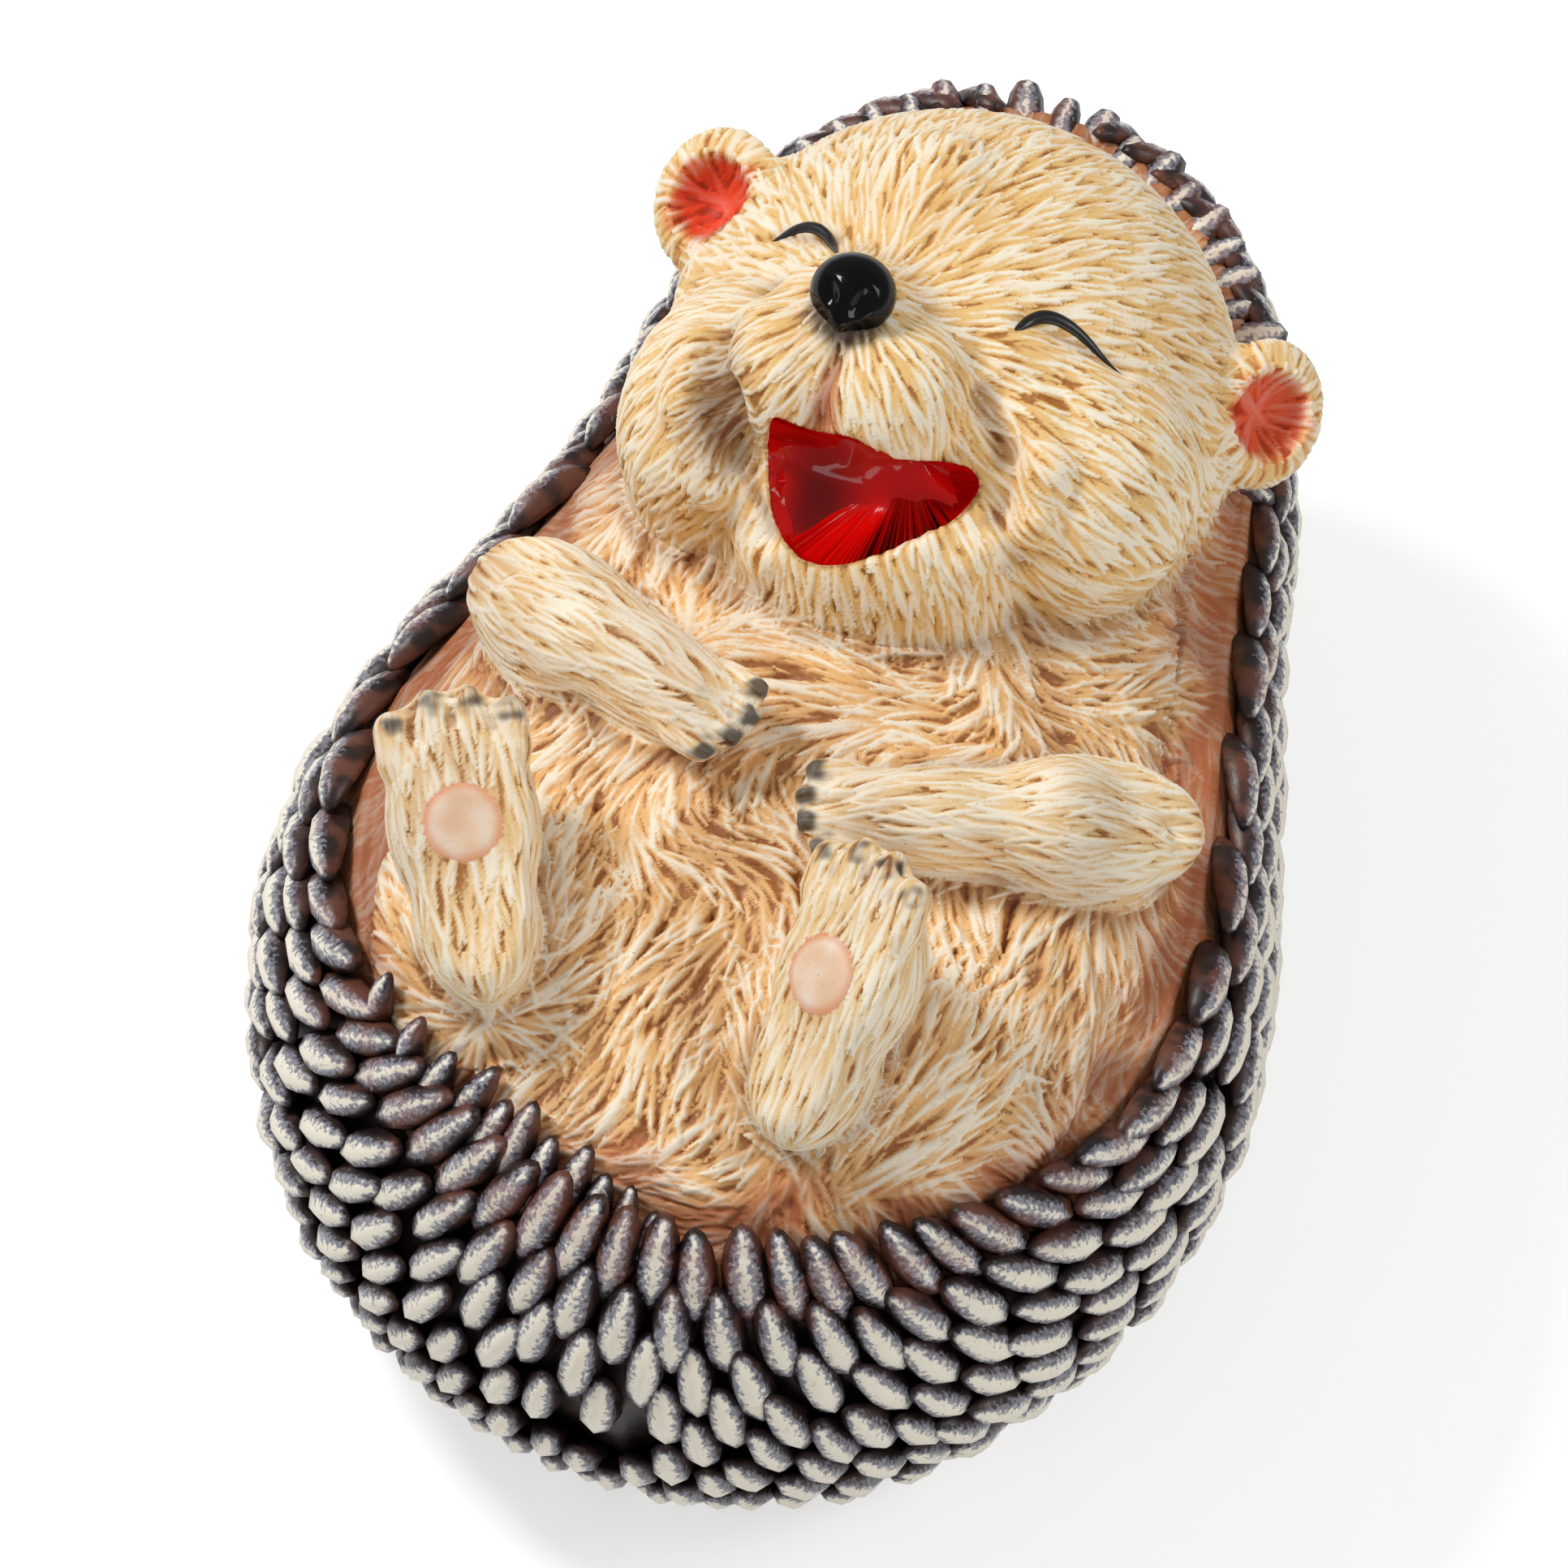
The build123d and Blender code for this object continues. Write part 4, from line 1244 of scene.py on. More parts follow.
class QuillCoat:
    """The coat of painted quills, one piece for each region."""

    SIDES = 8
    RINGS = 7
    SUNK = 0.6
    LAP_ACROSS = (-50.0, -44.0, -36.0, -24.0, -8.0, -1.0, 5.0)
    LAP = (0.0, 1.9, 8.0, 10.0, 9.5, 6.5, 3.0)
    LAP_STEP = 4.3
    LEAST_LAP = 2.0
    LAP_RISE = 29.0
    LAP_STAGGER = 2.5
    LAP_AIM = np.array([0.0, 5.2, 55.1])
    LAP_LENGTH = 7.5
    LAP_LIFT = 1.4
    FRINGE_MIDDLE = np.array([2.0, 86.0, 0.0])
    FRINGE_SEARCH = (20.0, 60.0)
    FRINGE_TURNS = (-0.10, math.pi - 0.36)
    FRINGE_STEP = 5.0
    FRINGE_RADIUS = 41.0
    FRINGE_DROP = 1.4
    FRINGE_STAGGER = 0.9
    FRINGE_INSET = 1.2
    FRINGE_OUT = 1.8
    FRINGE_ROOT = 5.8
    BARE = np.array([9.2, 4.3, 7.0])
    BARE_REACH = (-62.0, 128.0)
    BARE_STEP = 2.2
    BELOW_RIM = 4.0
    OVER_FLOOR = 3.0 * MM
    NEIGHBOURS = 4
    USUAL_LENGTH = 11.7
    HALF_WIDTH = 2.25
    ROOT_BACK = 0.6
    BOW = 0.55
    SHAPES = {
        "crown_quills": QuillShape(1.40, 1.50, 3.8, 0.40),
        "nape_quills": QuillShape(1.30, 1.30, 3.4, 0.50),
        "left_flank_quills": QuillShape(1.42, 1.30, 3.7, 0.55),
        "right_flank_quills": QuillShape(1.42, 1.30, 3.7, 0.55),
        "back_quills": QuillShape(1.10, 1.20, 3.0, 0.60),
        "rump_quills": QuillShape(1.42, 1.30, 3.7, 0.55),
    }

    def __init__(self, body: BodyFrame, egg: Egg) -> None:
        """Keeps the body's axes and the egg that the quills sit on."""
        self.body = body
        self.egg = egg
        ball, places = reshaped_ball(self.SIDES, self.RINGS)
        self.share = (places[:, 0] + 1.0) / 2
        ring = np.maximum(np.hypot(places[:, 1], places[:, 2]), 1e-9)
        self.side = places[:, 1] / ring
        self.up = places[:, 2] / ring
        ball.faces.ensure_lookup_table()
        self.faces = [[vert.index for vert in face.verts] for face in ball.faces]
        ball.free()

    def seats(self, node: str) -> list[tuple[Array, Array, Array]]:
        """Root, tip and outward direction of every quill of a node.

        Args:
            node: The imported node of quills.

        Returns:
            Places in the body frame, in millimetres.
        """
        found = []
        for island in islands(node):
            points = self.body.inward(island)
            gaps = np.linalg.norm(points[:, None] - points[None], axis=2)
            a, b = np.unravel_index(gaps.argmax(), gaps.shape)
            heights = self.egg.height(points[[a, b]])
            root, tip = (points[a], points[b]) if heights[0] < heights[1] else (points[b], points[a])
            middle = (root + tip) / 2
            steps = np.vstack([middle + step for step in np.eye(3) * 0.1] + [middle])
            slopes = self.egg.height(steps)
            found.append((root, tip, unit(slopes[:3] - slopes[3])))
        found.sort(key=lambda seat: (round(seat[0][1], 2), round(seat[0][0], 2)))
        return found

    def fringe_seats(self) -> list[tuple[Array, Array, Array]]:
        """The blunt scales that stand round the crown from ear to ear.

        Returns:
            Root, tip and outward direction of each.
        """
        found = []
        reach = np.arange(*self.FRINGE_SEARCH, 0.2)[:, None]
        for i, turn in enumerate(np.arange(*self.FRINGE_TURNS, self.FRINGE_STEP / self.FRINGE_RADIUS)):
            way = np.array([math.cos(turn), math.sin(turn), 0.0])
            line = self.FRINGE_MIDDLE + reach * way
            stagger = self.FRINGE_STAGGER * (i % 2)
            line[:, 2] = RIM_RISE / MM - line[:, 1] * math.tan(RIM_TILT) - self.FRINGE_DROP - stagger
            edge = line[np.argmax(self.egg.height(line) > -self.FRINGE_INSET)]
            tip = edge + (way + RIM_NORMAL * 0.30) * (self.FRINGE_OUT + stagger)
            root = edge - (way + RIM_NORMAL * 0.10) * self.FRINGE_ROOT
            found.append((root, tip, unit(RIM_NORMAL + way * 0.4)))
        return found

    def bare_places(self) -> Array:
        """Places spread over the egg below its rim, where a quill might be missing."""
        found = []
        for along in np.arange(*self.BARE_REACH, self.BARE_STEP):
            reach = self.egg.rump_reach if along < 0 else self.egg.crown_reach
            swell = math.sin(math.pi * max(along, 0.0) / self.egg.crown_reach) ** 2
            girth = math.sqrt(1.0 - (along / reach) ** 2) * (1.0 - self.egg.neck * swell)
            turns = np.arange(0.0, math.tau, self.BARE_STEP / (self.egg.half_width * girth))
            across = self.egg.lean * swell + self.egg.half_width * girth * np.cos(turns)
            rise = self.egg.depth * girth * np.sin(turns)
            found.append(np.stack([across, np.full(len(turns), along), rise], axis=1))
        places = np.vstack(found)
        low = self.egg.over_rim(places) < -self.BELOW_RIM
        return places[low & (self.body.outward(places)[:, 2] > self.OVER_FLOOR)]

    def filled(self, seats: dict[str, list[tuple[Array, Array, Array]]]) -> None:
        """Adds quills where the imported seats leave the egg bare.

        Args:
            seats: The seats by node, added to in place.
        """
        owners = [node for node, held in seats.items() for _ in held]
        held = [seat for group in seats.values() for seat in group]
        middles = np.array([(root + tip) / 2 for root, tip, _ in held])
        alongs = np.array([tip - root for root, tip, _ in held])
        outs = np.array([out for _, _, out in held])
        places = self.bare_places()

        def gaps(middle: Array, along: Array, out: Array) -> Array:
            """How far every place lies from one quill, in its own sizes."""
            axes = np.stack([unit(along), unit(np.cross(out, along)), out])
            return np.linalg.norm((places - middle) @ axes.T / self.BARE, axis=1)

        room = np.full(len(places), 99.0)
        for seat in zip(middles, alongs, outs):
            room = np.minimum(room, gaps(*seat))
        while room.max() > 1.0:
            best = room.argmax()
            near = np.argsort(np.linalg.norm(middles - places[best], axis=1))[: self.NEIGHBOURS]
            out = unit(outs[near].mean(axis=0))
            along = alongs[near].mean(axis=0)
            middle = places[best] + out * ((middles[near] - places[best]) @ out).mean()
            seats[owners[near[0]]].append((middle - along / 2, middle + along / 2, out))
            room = np.minimum(room, gaps(places[best], along, out))

    def rim_seats(self, face: BVHTree) -> list[tuple[Array, Array, Array]]:
        """Quills that lie over the edge of the fur at the rump.

        Args:
            face: The carved skin, in the body frame.

        Returns:
            Root, tip and outward direction of each.
        """
        found = []
        across = np.arange(self.LAP_ACROSS[0], self.LAP_ACROSS[-1], self.LAP_STEP)
        for i, x in enumerate(across):
            lap = np.interp(x, self.LAP_ACROSS, self.LAP)
            if lap < self.LEAST_LAP:
                continue
            left = 1.0 - (x / self.egg.half_width) ** 2 - (self.LAP_RISE / self.egg.depth) ** 2
            y = -self.egg.rump_reach * math.sqrt(max(left, 0.0))
            root, normal, _, _ = face.find_nearest(Vector((x, y, self.LAP_RISE + self.LAP_STAGGER * (i % 2))))
            root, out = np.array(root), np.array(normal)
            aim = self.LAP_AIM - root
            aim = unit(aim - out * (aim @ out))
            tip, _, _, _ = face.find_nearest(Vector(root + aim * lap))
            along = unit(np.array(tip) - root) * max(lap, self.LAP_LENGTH)
            found.append((root, root + along + out * self.LAP_LIFT, out))
        return found

    def all_seats(self, face: BVHTree) -> dict[str, list[tuple[Array, Array, Array]]]:
        """Every quill's seat, by the node that it belongs to."""
        seats = {node: self.seats(node) for node in self.SHAPES}
        self.filled(seats)
        seats["crown_quills"] += self.fringe_seats()
        seats["rump_quills"] += self.rim_seats(face)
        return seats

    def dress(self, node: str, seats: list[tuple[Array, Array, Array]]) -> bpy.types.Object:
        """Draws out every quill of a node as a plump painted almond.

        Args:
            node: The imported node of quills.
            seats: Root, tip and outward direction of each quill.

        Returns:
            One piece with all of its quills.
        """
        shape = self.SHAPES[node]
        rng = np.random.default_rng(len(node))
        girth = self.share**0.5 * (1.0 - self.share) ** shape.blunt
        girth /= girth.max()
        bow = np.sin(math.pi * self.share) ** 0.8
        low = np.where(self.up > 0.0, 1.0, 0.35)
        crest = np.clip(self.up, 0.0, 1.0) ** 2.0 * (girth > 0.0)
        points, faces, brushed, shades, rimward = [], [], [], [], []
        for root, tip, out in seats:
            along = unit(tip - root)
            out = unit(out - along * (out @ along))
            side = np.cross(out, along)
            length = np.linalg.norm(tip - root) * shape.longer * rng.uniform(0.94, 1.06)
            size = np.linalg.norm(tip - root) / self.USUAL_LENGTH
            half = self.HALF_WIDTH * shape.wider * size * rng.uniform(0.92, 1.08)
            thick = shape.thick * size * rng.uniform(0.9, 1.1)
            turn = rng.normal(0.0, 0.05)
            bend = side * turn * length * 0.5
            start = root - along * self.ROOT_BACK - out * self.SUNK
            quill = (
                start
                + along * (self.share * length)[:, None]
                + side * (girth * self.side * half)[:, None]
                + out * (girth * self.up * low * thick + bow * self.BOW)[:, None]
                + bend * (self.share**2)[:, None]
            )
            faces += [[corner + len(points) * len(self.share) for corner in face] for face in self.faces]
            points.append(quill)
            brushed.append(crest * smoothstep(0.04, 0.34, self.share))
            shades.append(np.full(len(self.share), rng.uniform(0.0, 1.0)))
            rimward.append(smoothstep(-11.0, -1.0, self.egg.over_rim(quill)))
        mesh = bpy.data.meshes.new(node)
        mesh.from_pydata(self.body.outward(np.vstack(points)), [], faces)
        fields_attribute(mesh, "brushed", np.concatenate(brushed))
        fields_attribute(mesh, "lot", np.concatenate(shades))
        fields_attribute(mesh, "rimward", np.concatenate(rimward))
        fields_attribute(mesh, "tipward", np.tile(self.share, len(points)))
        mesh.shade_smooth()
        return linked(f"{node}_brushed", mesh)


class Wiring:
    """Adds and joins the nodes of one shader tree."""

    def __init__(self, tree: bpy.types.NodeTree) -> None:
        """Keeps the tree."""
        self.tree = tree

    def node(self, kind: str, inputs: dict, **settings: object) -> bpy.types.Node:
        """A new node.

        Args:
            kind: Its type.
            inputs: Values or sockets by the input's name or number.
            settings: Its other settings.

        Returns:
            The node.
        """
        made = self.tree.nodes.new(kind)
        for name, value in settings.items():
            setattr(made, name, value)
        for name, value in inputs.items():
            if isinstance(value, bpy.types.NodeSocket):
                self.tree.links.new(value, made.inputs[name])
            else:
                made.inputs[name].default_value = value
        return made

    def math(self, operation: str, a: object, b: object = 0.0) -> bpy.types.NodeSocket:
        """A sum, kept from 0 to 1."""
        made = self.node("ShaderNodeMath", {0: a, 1: b}, operation=operation, use_clamp=True)
        return made.outputs[0]

    def soft(self, value: object, low: float, high: float) -> bpy.types.NodeSocket:
        """A soft step from 0 at low to 1 at high."""
        inputs = {"Value": value, "From Min": low, "From Max": high}
        made = self.node("ShaderNodeMapRange", inputs, interpolation_type="SMOOTHSTEP")
        return made.outputs[0]

    def mix(self, factor: object, a: object, b: object, blend: str = "MIX") -> bpy.types.NodeSocket:
        """Two colours blended."""
        made = self.node("ShaderNodeMix", {0: factor, 6: a, 7: b}, data_type="RGBA", blend_type=blend)
        return made.outputs[2]

    def noise(self, place: object, per_metre: float, detail: float = 2.0) -> bpy.types.NodeSocket:
        """Soft noise at a place, with that many blots to the metre."""
        inputs = {"Vector": place, "Scale": per_metre, "Detail": detail}
        return self.node("ShaderNodeTexNoise", inputs).outputs[0]

    def stored(self, name: str) -> bpy.types.NodeSocket:
        """A value stored at the vertices."""
        return self.node("ShaderNodeAttribute", {}, attribute_name=name).outputs["Fac"]

    def place(self) -> bpy.types.NodeSocket:
        """The place on the object."""
        return self.node("ShaderNodeTexCoord", {}).outputs["Object"]


def shader_group(name: str, inputs: dict, outputs: dict) -> tuple[bpy.types.NodeTree, Wiring, object, object]:
    """An empty shader group with named sockets.

    Args:
        name: Its name.
        inputs: Input names and socket types.
        outputs: Output names and socket types.

    Returns:
        The group, its wiring, its inside input sockets and its inside output sockets.
    """
    tree = bpy.data.node_groups.new(name, "ShaderNodeTree")
    for direction, sockets in (("INPUT", inputs), ("OUTPUT", outputs)):
        for label, kind in sockets.items():
            tree.interface.new_socket(name=label, in_out=direction, socket_type=kind)
    wiring = Wiring(tree)
    given = tree.nodes.new("NodeGroupInput").outputs
    wanted = tree.nodes.new("NodeGroupOutput").inputs
    return tree, wiring, given, wanted


VALUE, COLOUR, VECTOR = "NodeSocketFloat", "NodeSocketColor", "NodeSocketVector"


@dataclass(frozen=True)
class Grain:
    """The cast surface's grain: its fineness, its pits, and its strength and depth in millimetres."""

    fineness: float
    pits: float
    strength: float
    depth: float


@dataclass(frozen=True)
class FurPaint:
    """The colours of one furred finish, and how strongly its washes are put on."""

    name: str
    groove: tuple[float, float, float, float] = srgb(170, 104, 34)
    body: tuple[float, float, float, float] = srgb(242, 198, 126)
    ridge: tuple[float, float, float, float] = srgb(255, 246, 224)
    blush: tuple[float, float, float, float] = srgb(190, 92, 50)
    cover: float = 0.92


FUR_PAINTS = (
    FurPaint("painted fur"),
    FurPaint("painted trunk fur", groove=srgb(158, 92, 40), body=srgb(243, 192, 126)),
    FurPaint("painted limb fur", body=srgb(246, 210, 154)),
    FurPaint("painted ear", groove=srgb(196, 126, 60), blush=srgb(242, 62, 14)),
    FurPaint("pad peach", srgb(238, 184, 138), srgb(250, 212, 176), srgb(255, 240, 224), srgb(226, 138, 84)),
)


@dataclass(frozen=True)
class GlossPaint:
    """A plain gloss or matte finish with a darker colour in blotches, or as painted shade where it follows the shade
    wash.
    """

    name: str
    light: tuple[float, float, float, float]
    dark: tuple[float, float, float, float]
    blotches: float
    roughness: float
    coat: float
    bump: float
    shine: float = 0.5
    wash: str = ""


PLAIN_PAINTS = (
    # The mouth red's dark colour is painted shade, laid by the shade wash in the mouth's hollow
    GlossPaint("mouth red", srgb(216, 8, 4), srgb(104, 2, 4), 70.0, 0.25, 0.45, 0.02, 0.05, "shade"),
    GlossPaint("nose black", srgb(8, 8, 9), srgb(4, 4, 5), 400.0, 0.2, 0.30, 0.02, 0.05),
    GlossPaint("line black", srgb(24, 17, 14), srgb(12, 9, 8), 900.0, 0.35, 0.2, 0.05),
    GlossPaint("dark quill skin", srgb(58, 38, 34), srgb(26, 16, 15), 260.0, 0.5, 0.0, 0.6),
    GlossPaint("plug putty", srgb(176, 160, 140), srgb(142, 124, 104), 180.0, 0.8, 0.0, 0.3),
)


class Paints:
    """All the finishes of the figure."""

    def __init__(self, body: BodyFrame) -> None:
        """Builds the shared shader groups and the materials."""
        self.body = body
        self.washes = self.wash_group()
        self.grain = self.grain_group()
        self.fur, self.trunk, self.limb, self.ear, self.pad = (self.fur_material(paint) for paint in FUR_PAINTS)
        self.quills = self.quill_material()
        self.red, self.black, self.line, self.under, self.putty = (self.plain(paint) for paint in PLAIN_PAINTS)
        self.rim_paint(self.under)

    @staticmethod
    def wash_group() -> bpy.types.NodeTree:
        """The dry-brushed strokes with the washes sprayed over them, and painted shade laid in from the Shade input."""
        inputs = {"Place": VECTOR, "Groove": COLOUR, "Body": COLOUR, "Ridge": COLOUR, "Blush": COLOUR}
        inputs |= {"Height": VALUE, "Band": VALUE, "Shade": VALUE, "Warm": VALUE, "Ink": VALUE, "Cover": VALUE}
        tree, wiring, given, wanted = shader_group("dry brush washes and painted shade", inputs, {"Color": COLOUR, "Grain": VALUE})
        fine = wiring.noise(given["Place"], 1400.0, 3.0)
        broad = wiring.noise(given["Place"], 75.0, 2.0)
        speck = wiring.soft(wiring.noise(given["Place"], 2100.0, 1.0), 0.73, 0.80)
        rough_height = wiring.math("ADD", given["Height"], wiring.math("MULTIPLY", fine, 0.30))
        colour = wiring.mix(wiring.soft(rough_height, 0.10, 0.50), given["Groove"], given["Body"])
        bright = wiring.math("MULTIPLY", wiring.soft(rough_height, 0.55, 1.0), given["Cover"])
        colour = wiring.mix(bright, colour, given["Ridge"])
        ochre = wiring.math("MULTIPLY", wiring.soft(broad, 0.45, 0.68), 0.20)
        colour = wiring.mix(ochre, colour, srgb(232, 174, 92))
        # Painted shade: brown where the Shade input is high, stronger in the grooves
        low = wiring.math("SUBTRACT", 1.0, wiring.math("MULTIPLY", given["Height"], 0.55))
        shade = wiring.math("MULTIPLY", given["Shade"], low)
        colour = wiring.mix(shade, colour, srgb(124, 70, 34))
        colour = wiring.mix(wiring.math("MULTIPLY", given["Band"], low), colour, srgb(198, 116, 70))
        deep = wiring.math("MULTIPLY", wiring.soft(given["Band"], 0.55, 1.0), 0.5)
        colour = wiring.mix(deep, colour, srgb(140, 70, 38))
        streak = wiring.math("SUBTRACT", given["Warm"], wiring.math("MULTIPLY", given["Height"], 0.18))
        colour = wiring.mix(streak, colour, given["Blush"])
        groove = wiring.math("MULTIPLY", given["Warm"], wiring.soft(given["Height"], 0.45, 0.0))
        colour = wiring.mix(wiring.math("MULTIPLY", groove, 0.6), colour, srgb(120, 30, 10))
        colour = wiring.mix(wiring.math("MULTIPLY", speck, 0.5), colour, srgb(92, 56, 30))
        colour = wiring.mix(given["Ink"], colour, srgb(38, 28, 24))
        tree.links.new(colour, wanted["Color"])
        tree.links.new(fine, wanted["Grain"])
        return tree

    @staticmethod
    def grain_group() -> bpy.types.NodeTree:
        """The cast surface's fine grain and pinholes, as a height."""
        inputs = {"Place": VECTOR, "Fineness": VALUE, "Pits": VALUE}
        tree, wiring, given, wanted = shader_group("cast grain", inputs, {"Height": VALUE})
        noise = wiring.node(
            "ShaderNodeTexNoise", {"Vector": given["Place"], "Scale": given["Fineness"], "Detail": 3.0}
        )
        pores = wiring.node("ShaderNodeTexVoronoi", {"Vector": given["Place"], "Scale": 170.0})
        hole = wiring.math("MULTIPLY", wiring.soft(pores.outputs["Distance"], 0.14, 0.08), given["Pits"])
        height = wiring.math("SUBTRACT", wiring.math("ADD", wiring.math("MULTIPLY", noise.outputs[0], 0.5), 0.5), hole)
        tree.links.new(height, wanted["Height"])
        return tree

    def grained(self, wiring: Wiring, place: object, shader: bpy.types.Node, grain: Grain) -> None:
        """Gives a paint the cast surface's grain.

        Args:
            wiring: The material's wiring.
            place: Where the surface lies.
            shader: The material's shader.
            grain: How the surface is grained.
        """
        inputs = {"Place": place, "Fineness": grain.fineness, "Pits": grain.pits}
        height = wiring.node("ShaderNodeGroup", inputs, node_tree=self.grain)
        inputs = {"Height": height.outputs["Height"], "Strength": grain.strength, "Distance": grain.depth * MM}
        bump = wiring.node("ShaderNodeBump", inputs)
        wiring.tree.links.new(bump.outputs[0], shader.inputs["Normal"])

    @staticmethod
    def blank(name: str) -> tuple[bpy.types.Material, Wiring, bpy.types.Node]:
        """An empty material with its shader.

        Args:
            name: The material's name.

        Returns:
            The material, its wiring and its shader node.
        """
        material = bpy.data.materials.new(name)
        material.use_nodes = True
        wiring = Wiring(material.node_tree)
        return material, wiring, material.node_tree.nodes["Principled BSDF"]

    def fur_material(self, paint: FurPaint) -> bpy.types.Material:
        """Painted fur, with its washes read from the vertices.

        Args:
            paint: Its name and colours.

        Returns:
            The material.
        """
        material, wiring, shader = self.blank(paint.name)
        place = wiring.place()
        inputs = {
            "Place": place,
            "Groove": paint.groove,
            "Body": paint.body,
            "Ridge": paint.ridge,
            "Blush": paint.blush,
            "Height": wiring.stored("ridge"),
            "Band": wiring.stored("band"),
            "Shade": wiring.stored("shade"),
            "Warm": wiring.stored("blush"),
            "Ink": wiring.stored("ink"),
            "Cover": paint.cover,
        }
        washes = wiring.node("ShaderNodeGroup", inputs, node_tree=self.washes)
        wiring.tree.links.new(washes.outputs["Color"], shader.inputs["Base Color"])
        shader.inputs["Roughness"].default_value = 0.58
        self.grained(wiring, place, shader, Grain(1500.0, 0.25, 0.35, 0.15))
        return material

    def quill_material(self) -> bpy.types.Material:
        """Dark quills with a cream dry brush over their raised tips.

        Returns:
            The material.
        """
        material, wiring, shader = self.blank("painted quills")
        place = wiring.place()
        brushed, lot = wiring.stored("brushed"), wiring.stored("lot")
        rimward = wiring.stored("rimward")
        fine = wiring.noise(place, 1500.0, 6.0)
        broad = wiring.noise(place, 220.0, 2.0)
        dark = wiring.mix(wiring.soft(broad, 0.35, 0.7), srgb(34, 20, 20), srgb(72, 50, 47))
        worn = wiring.math("ADD", wiring.math("MULTIPLY", brushed, 0.6), wiring.math("MULTIPLY", fine, 0.6))
        worn = wiring.math("SUBTRACT", worn, wiring.math("MULTIPLY", lot, 0.08))
        worn = wiring.math("SUBTRACT", worn, wiring.math("MULTIPLY", rimward, 0.13))
        edge = wiring.soft(worn, 0.43, 0.57)
        body = wiring.soft(worn, 0.59, 0.72)
        colour = wiring.mix(wiring.math("MULTIPLY", edge, 0.85), dark, srgb(146, 146, 158))
        colour = wiring.mix(body, colour, srgb(248, 240, 222))
        rust = wiring.math("MULTIPLY", wiring.soft(rimward, 0.55, 1.0), wiring.soft(broad, 0.42, 0.60))
        colour = wiring.mix(wiring.math("MULTIPLY", rust, 0.22), colour, srgb(168, 92, 58))
        wiring.tree.links.new(colour, shader.inputs["Base Color"])
        shader.inputs["Roughness"].default_value = 0.42
        self.grained(wiring, place, shader, Grain(700.0, 0.8, 0.6, 0.35))
        return material

    def of_form(self, form: Form) -> bpy.types.Material:
        """The paint of one of the furred forms."""
        kept = {Form.MOUTH: self.red}
        for forms, material in ((FACE, self.fur), (TRUNK, self.trunk), (EARS, self.ear), (PADS, self.pad)):
            kept |= dict.fromkeys(forms, material)
        return kept.get(form, self.limb)

    def rim_paint(self, material: bpy.types.Material) -> None:
        """Lets the fur's rust wash run over the rim of the quill skin."""
        wiring = Wiring(material.node_tree)
        shader = material.node_tree.nodes["Principled BSDF"]
        normal = self.body.direction(RIM_NORMAL)
        rim = float(self.body.middle @ normal) + RIM_RISE * math.cos(RIM_TILT)
        over = wiring.node("ShaderNodeVectorMath", {0: wiring.place(), 1: tuple(normal)}, operation="DOT_PRODUCT")
        mask = wiring.soft(over.outputs["Value"], rim - 4.0 * MM, rim - 0.5 * MM)
        dark = shader.inputs["Base Color"].links[0].from_socket
        wiring.tree.links.new(wiring.mix(mask, dark, srgb(168, 94, 56)), shader.inputs["Base Color"])

    def plain(self, paint: GlossPaint) -> bpy.types.Material:
        """A gloss or matte paint with soft blotches, or with painted shade where it follows a wash.

        Args:
            paint: The finish.

        Returns:
            The material.
        """
        material, wiring, shader = self.blank(paint.name)
        place = wiring.place()
        # Where a paint follows a wash, as the mouth red follows the shade wash, its dark colour is painted shade
        blotch_and_shade = wiring.stored(paint.wash) if paint.wash else wiring.soft(wiring.noise(place, paint.blotches), 0.35, 0.65)
        wiring.tree.links.new(wiring.mix(blotch_and_shade, paint.light, paint.dark), shader.inputs["Base Color"])
        shader.inputs["Roughness"].default_value = paint.roughness
        shader.inputs["Coat Weight"].default_value = paint.coat
        shader.inputs["Coat Roughness"].default_value = 0.04
        shader.inputs["Specular IOR Level"].default_value = paint.shine
        self.grained(wiring, place, shader, Grain(500.0, 0.0, 0.5, paint.bump))
        return material


class Hedgehog:
    """The whole figure: skin, nose, eyelid lines and quills, each standing for its node."""

    def __init__(self, body: BodyFrame, paints: Paints) -> None:
        """Keeps the axes and the finishes."""
        self.body = body
        self.paints = paints

    def finish(self, piece: bpy.types.Object, node: str, material: bpy.types.Material) -> None:
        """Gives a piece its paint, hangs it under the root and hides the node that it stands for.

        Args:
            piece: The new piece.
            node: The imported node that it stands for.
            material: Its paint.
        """
        piece.data.materials.append(material)
        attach(piece, "root")
        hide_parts(node)

    def build(self) -> None:
        """Builds every piece."""
        skin = FurSkin(self.body)
        for form, piece in skin.carve():
            self.finish(piece, form.value, self.paints.of_form(form))
            LOG.info("%s: %d faces", piece.name, len(piece.data.polygons))
        self.finish(Nose(self.body).carve(), "nose", self.paints.black)
        for line in EYELIDS:
            self.finish(line.lay(self.body, skin.face), line.node, self.paints.line)
        coat = QuillCoat(self.body, Egg())
        for node, seats in coat.all_seats(skin.face).items():
            self.finish(coat.dress(node, seats), node, self.paints.quills)
        for node, material in (("quill_coat", self.paints.under), ("base_plug", self.paints.putty)):
            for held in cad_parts[node].material_slots:
                held.material = material


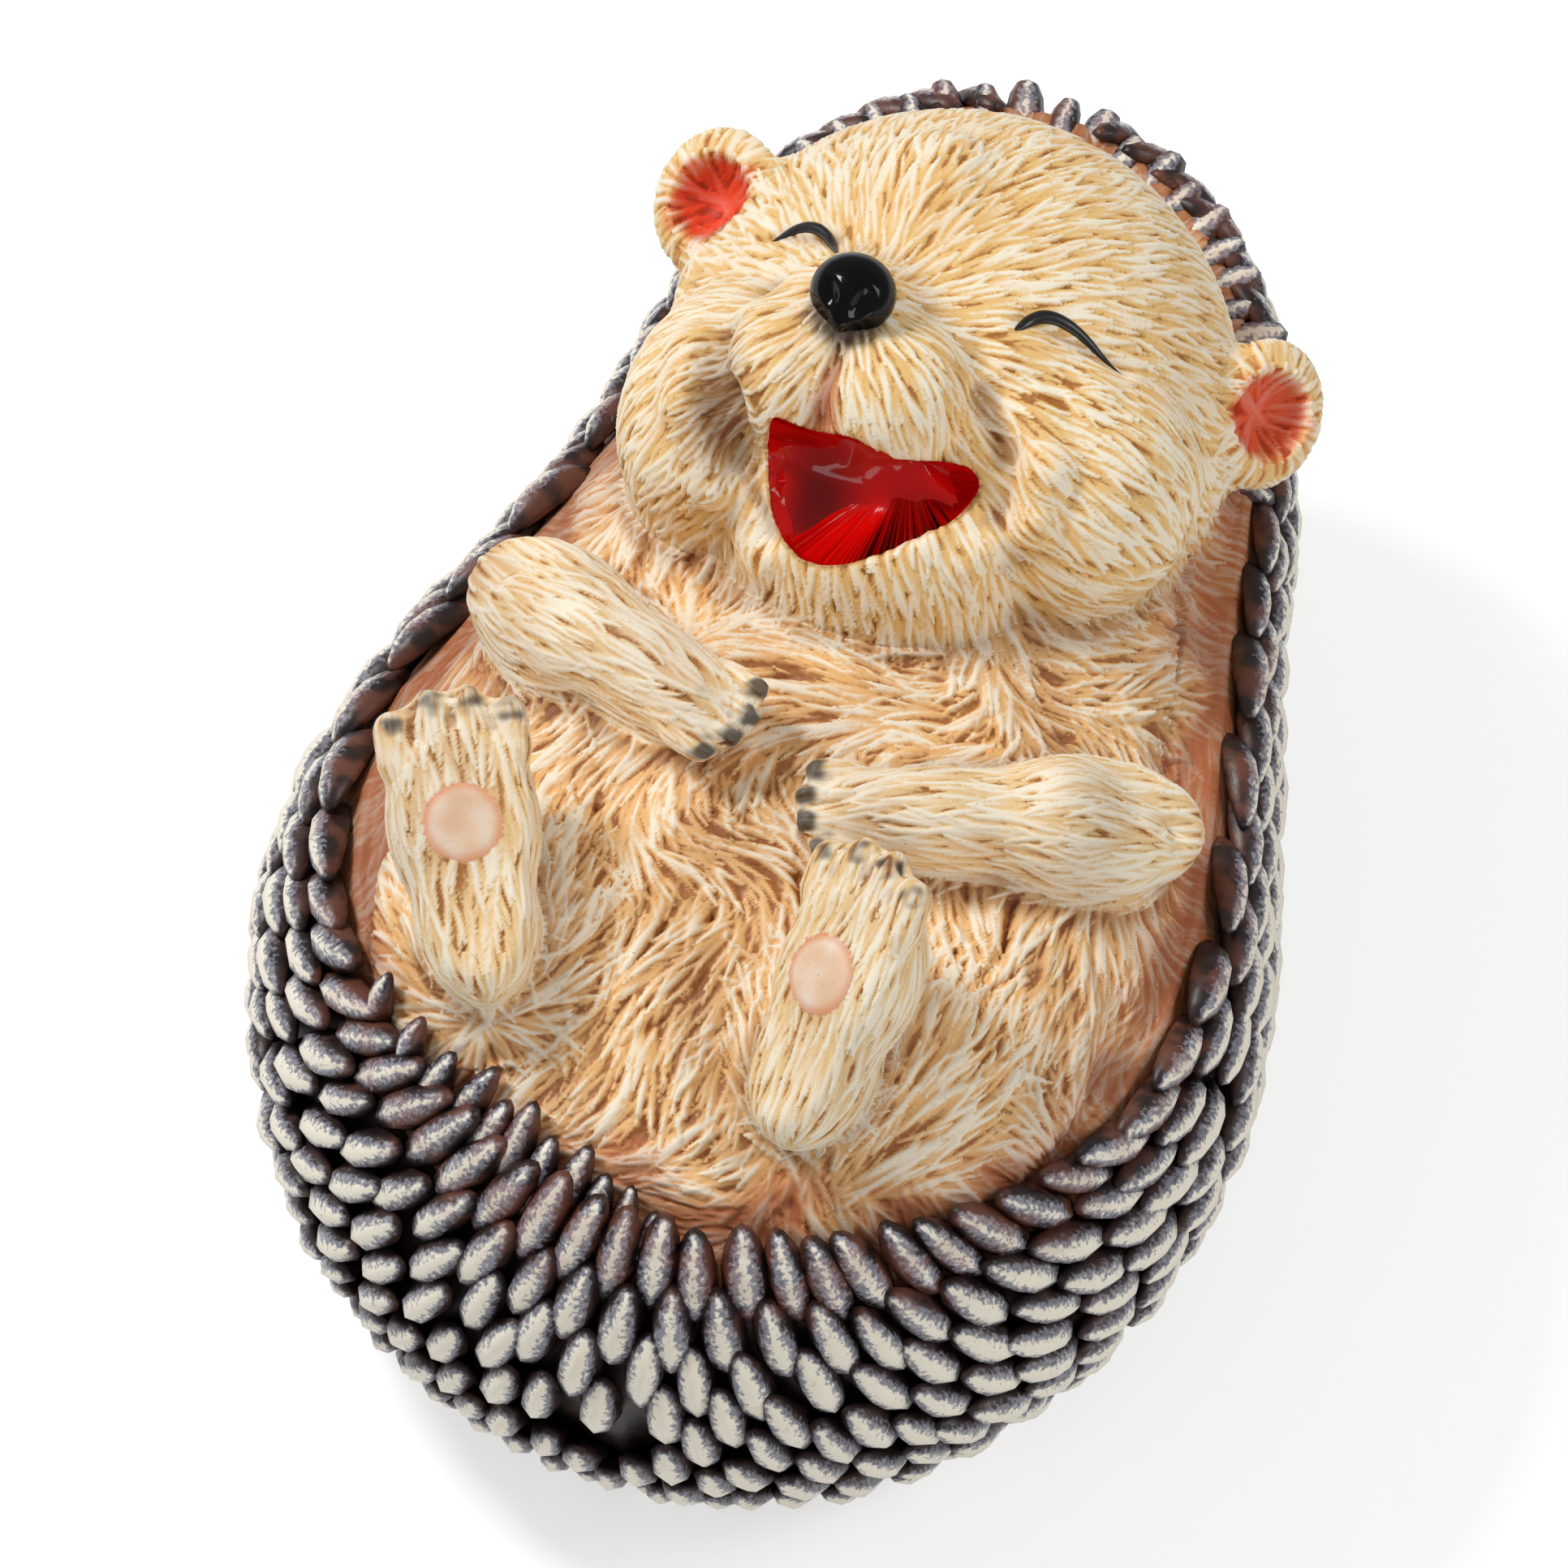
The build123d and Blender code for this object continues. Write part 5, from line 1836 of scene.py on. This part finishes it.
class Stage:
    """The white floor, the lamps and the camera."""

    FLOOR = 8.0
    FLOOR_GREY = 0.66
    FLOOR_GLOW = 0.58
    ROOM_GLOW = 0.34
    LENS = 437.0
    LAMPS = (
        ("key", (-0.60, 0.80, 0.62), 0.26, 8.2),
        ("fill", (0.9, 0.3, 0.7), 0.40, 3.2),
        ("low", (0.1, -0.9, 0.6), 0.5, 2.6),
    )

    def __init__(self, body: BodyFrame) -> None:
        """Works out the camera's axes."""
        self.body = body
        across = Vector(body.direction(SEEN_ACROSS))
        back = across.cross(Vector(body.direction(SEEN_UPWARD))).normalized()
        self.across, self.upward, self.back = across, back.cross(across), back

    def floor(self) -> None:
        """A white floor that shows white to the camera and keeps the figure's shadow."""
        sheet = bmesh.new()
        bmesh.ops.create_grid(sheet, x_segments=1, y_segments=1, size=self.FLOOR / 2)
        mesh = bpy.data.meshes.new("floor")
        sheet.to_mesh(mesh)
        sheet.free()
        piece = linked("floor", mesh)
        material, wiring, shader = Paints.blank("white floor")
        shader.inputs["Base Color"].default_value = (*[self.FLOOR_GREY] * 3, 1.0)
        shader.inputs["Roughness"].default_value = 0.9
        shader.inputs["Specular IOR Level"].default_value = 0.0
        rays = wiring.node("ShaderNodeLightPath", {})
        watched = wiring.math("ADD", rays.outputs["Is Camera Ray"], rays.outputs["Is Glossy Ray"])
        watched = wiring.math("ADD", watched, rays.outputs["Is Transmission Ray"])
        shader.inputs["Emission Color"].default_value = (1.0, 1.0, 1.0, 1.0)
        glow = wiring.math("MULTIPLY", watched, self.FLOOR_GLOW)
        wiring.tree.links.new(glow, shader.inputs["Emission Strength"])
        mesh.materials.append(material)

    def world(self) -> None:
        """An even pale surrounding."""
        world = bpy.data.worlds.new("pale room")
        world.use_nodes = True
        surface = world.node_tree.nodes["Background"]
        surface.inputs["Color"].default_value = (1.0, 1.0, 1.0, 1.0)
        surface.inputs["Strength"].default_value = self.ROOM_GLOW
        bpy.context.scene.world = world

    def lamp(self, name: str, place: tuple[float, float, float], size: float, power: float) -> None:
        """A soft square lamp that faces the figure.

        Args:
            name: Its name.
            place: How far it stands across, above and before the aim, in metres.
            size: The side of its square, in metres.
            power: Its power in watts.
        """
        light = bpy.data.lights.new(name, "AREA")
        light.size = size
        light.energy = power
        piece = bpy.data.objects.new(name, light)
        bpy.context.scene.collection.objects.link(piece)
        offset = self.across * place[0] + self.upward * place[1] + self.back * place[2]
        aim = Vector(self.body.middle)
        piece.location = aim + offset
        piece.rotation_euler = offset.to_track_quat("Z", "Y").to_euler()

    def camera(self) -> None:
        """The camera at the photograph's angle."""
        lens = bpy.data.cameras.new("camera")
        lens.lens = self.LENS
        lens.clip_start = 0.1
        piece = bpy.data.objects.new("camera", lens)
        bpy.context.scene.collection.objects.link(piece)
        aim = Vector(self.body.middle) + self.across * SEEN_AIM[0] * MM + self.upward * SEEN_AIM[1] * MM
        turn = Matrix((self.across, self.upward, self.back)).transposed().to_4x4()
        piece.matrix_world = Matrix.Translation(aim + self.back * SEEN_FAR * MM) @ turn
        bpy.context.scene.camera = piece

    def set_up(self) -> None:
        """Builds the whole stage."""
        self.floor()
        self.world()
        for lamp in self.LAMPS:
            self.lamp(*lamp)
        self.camera()
        bpy.context.scene.view_settings.view_transform = "Standard"


def main() -> None:
    """Builds the figure and its stage."""
    logging.basicConfig(level=logging.INFO)
    body = BodyFrame()
    Hedgehog(body, Paints(body)).build()
    Stage(body).set_up()


if __name__ == "__main__":
    main()
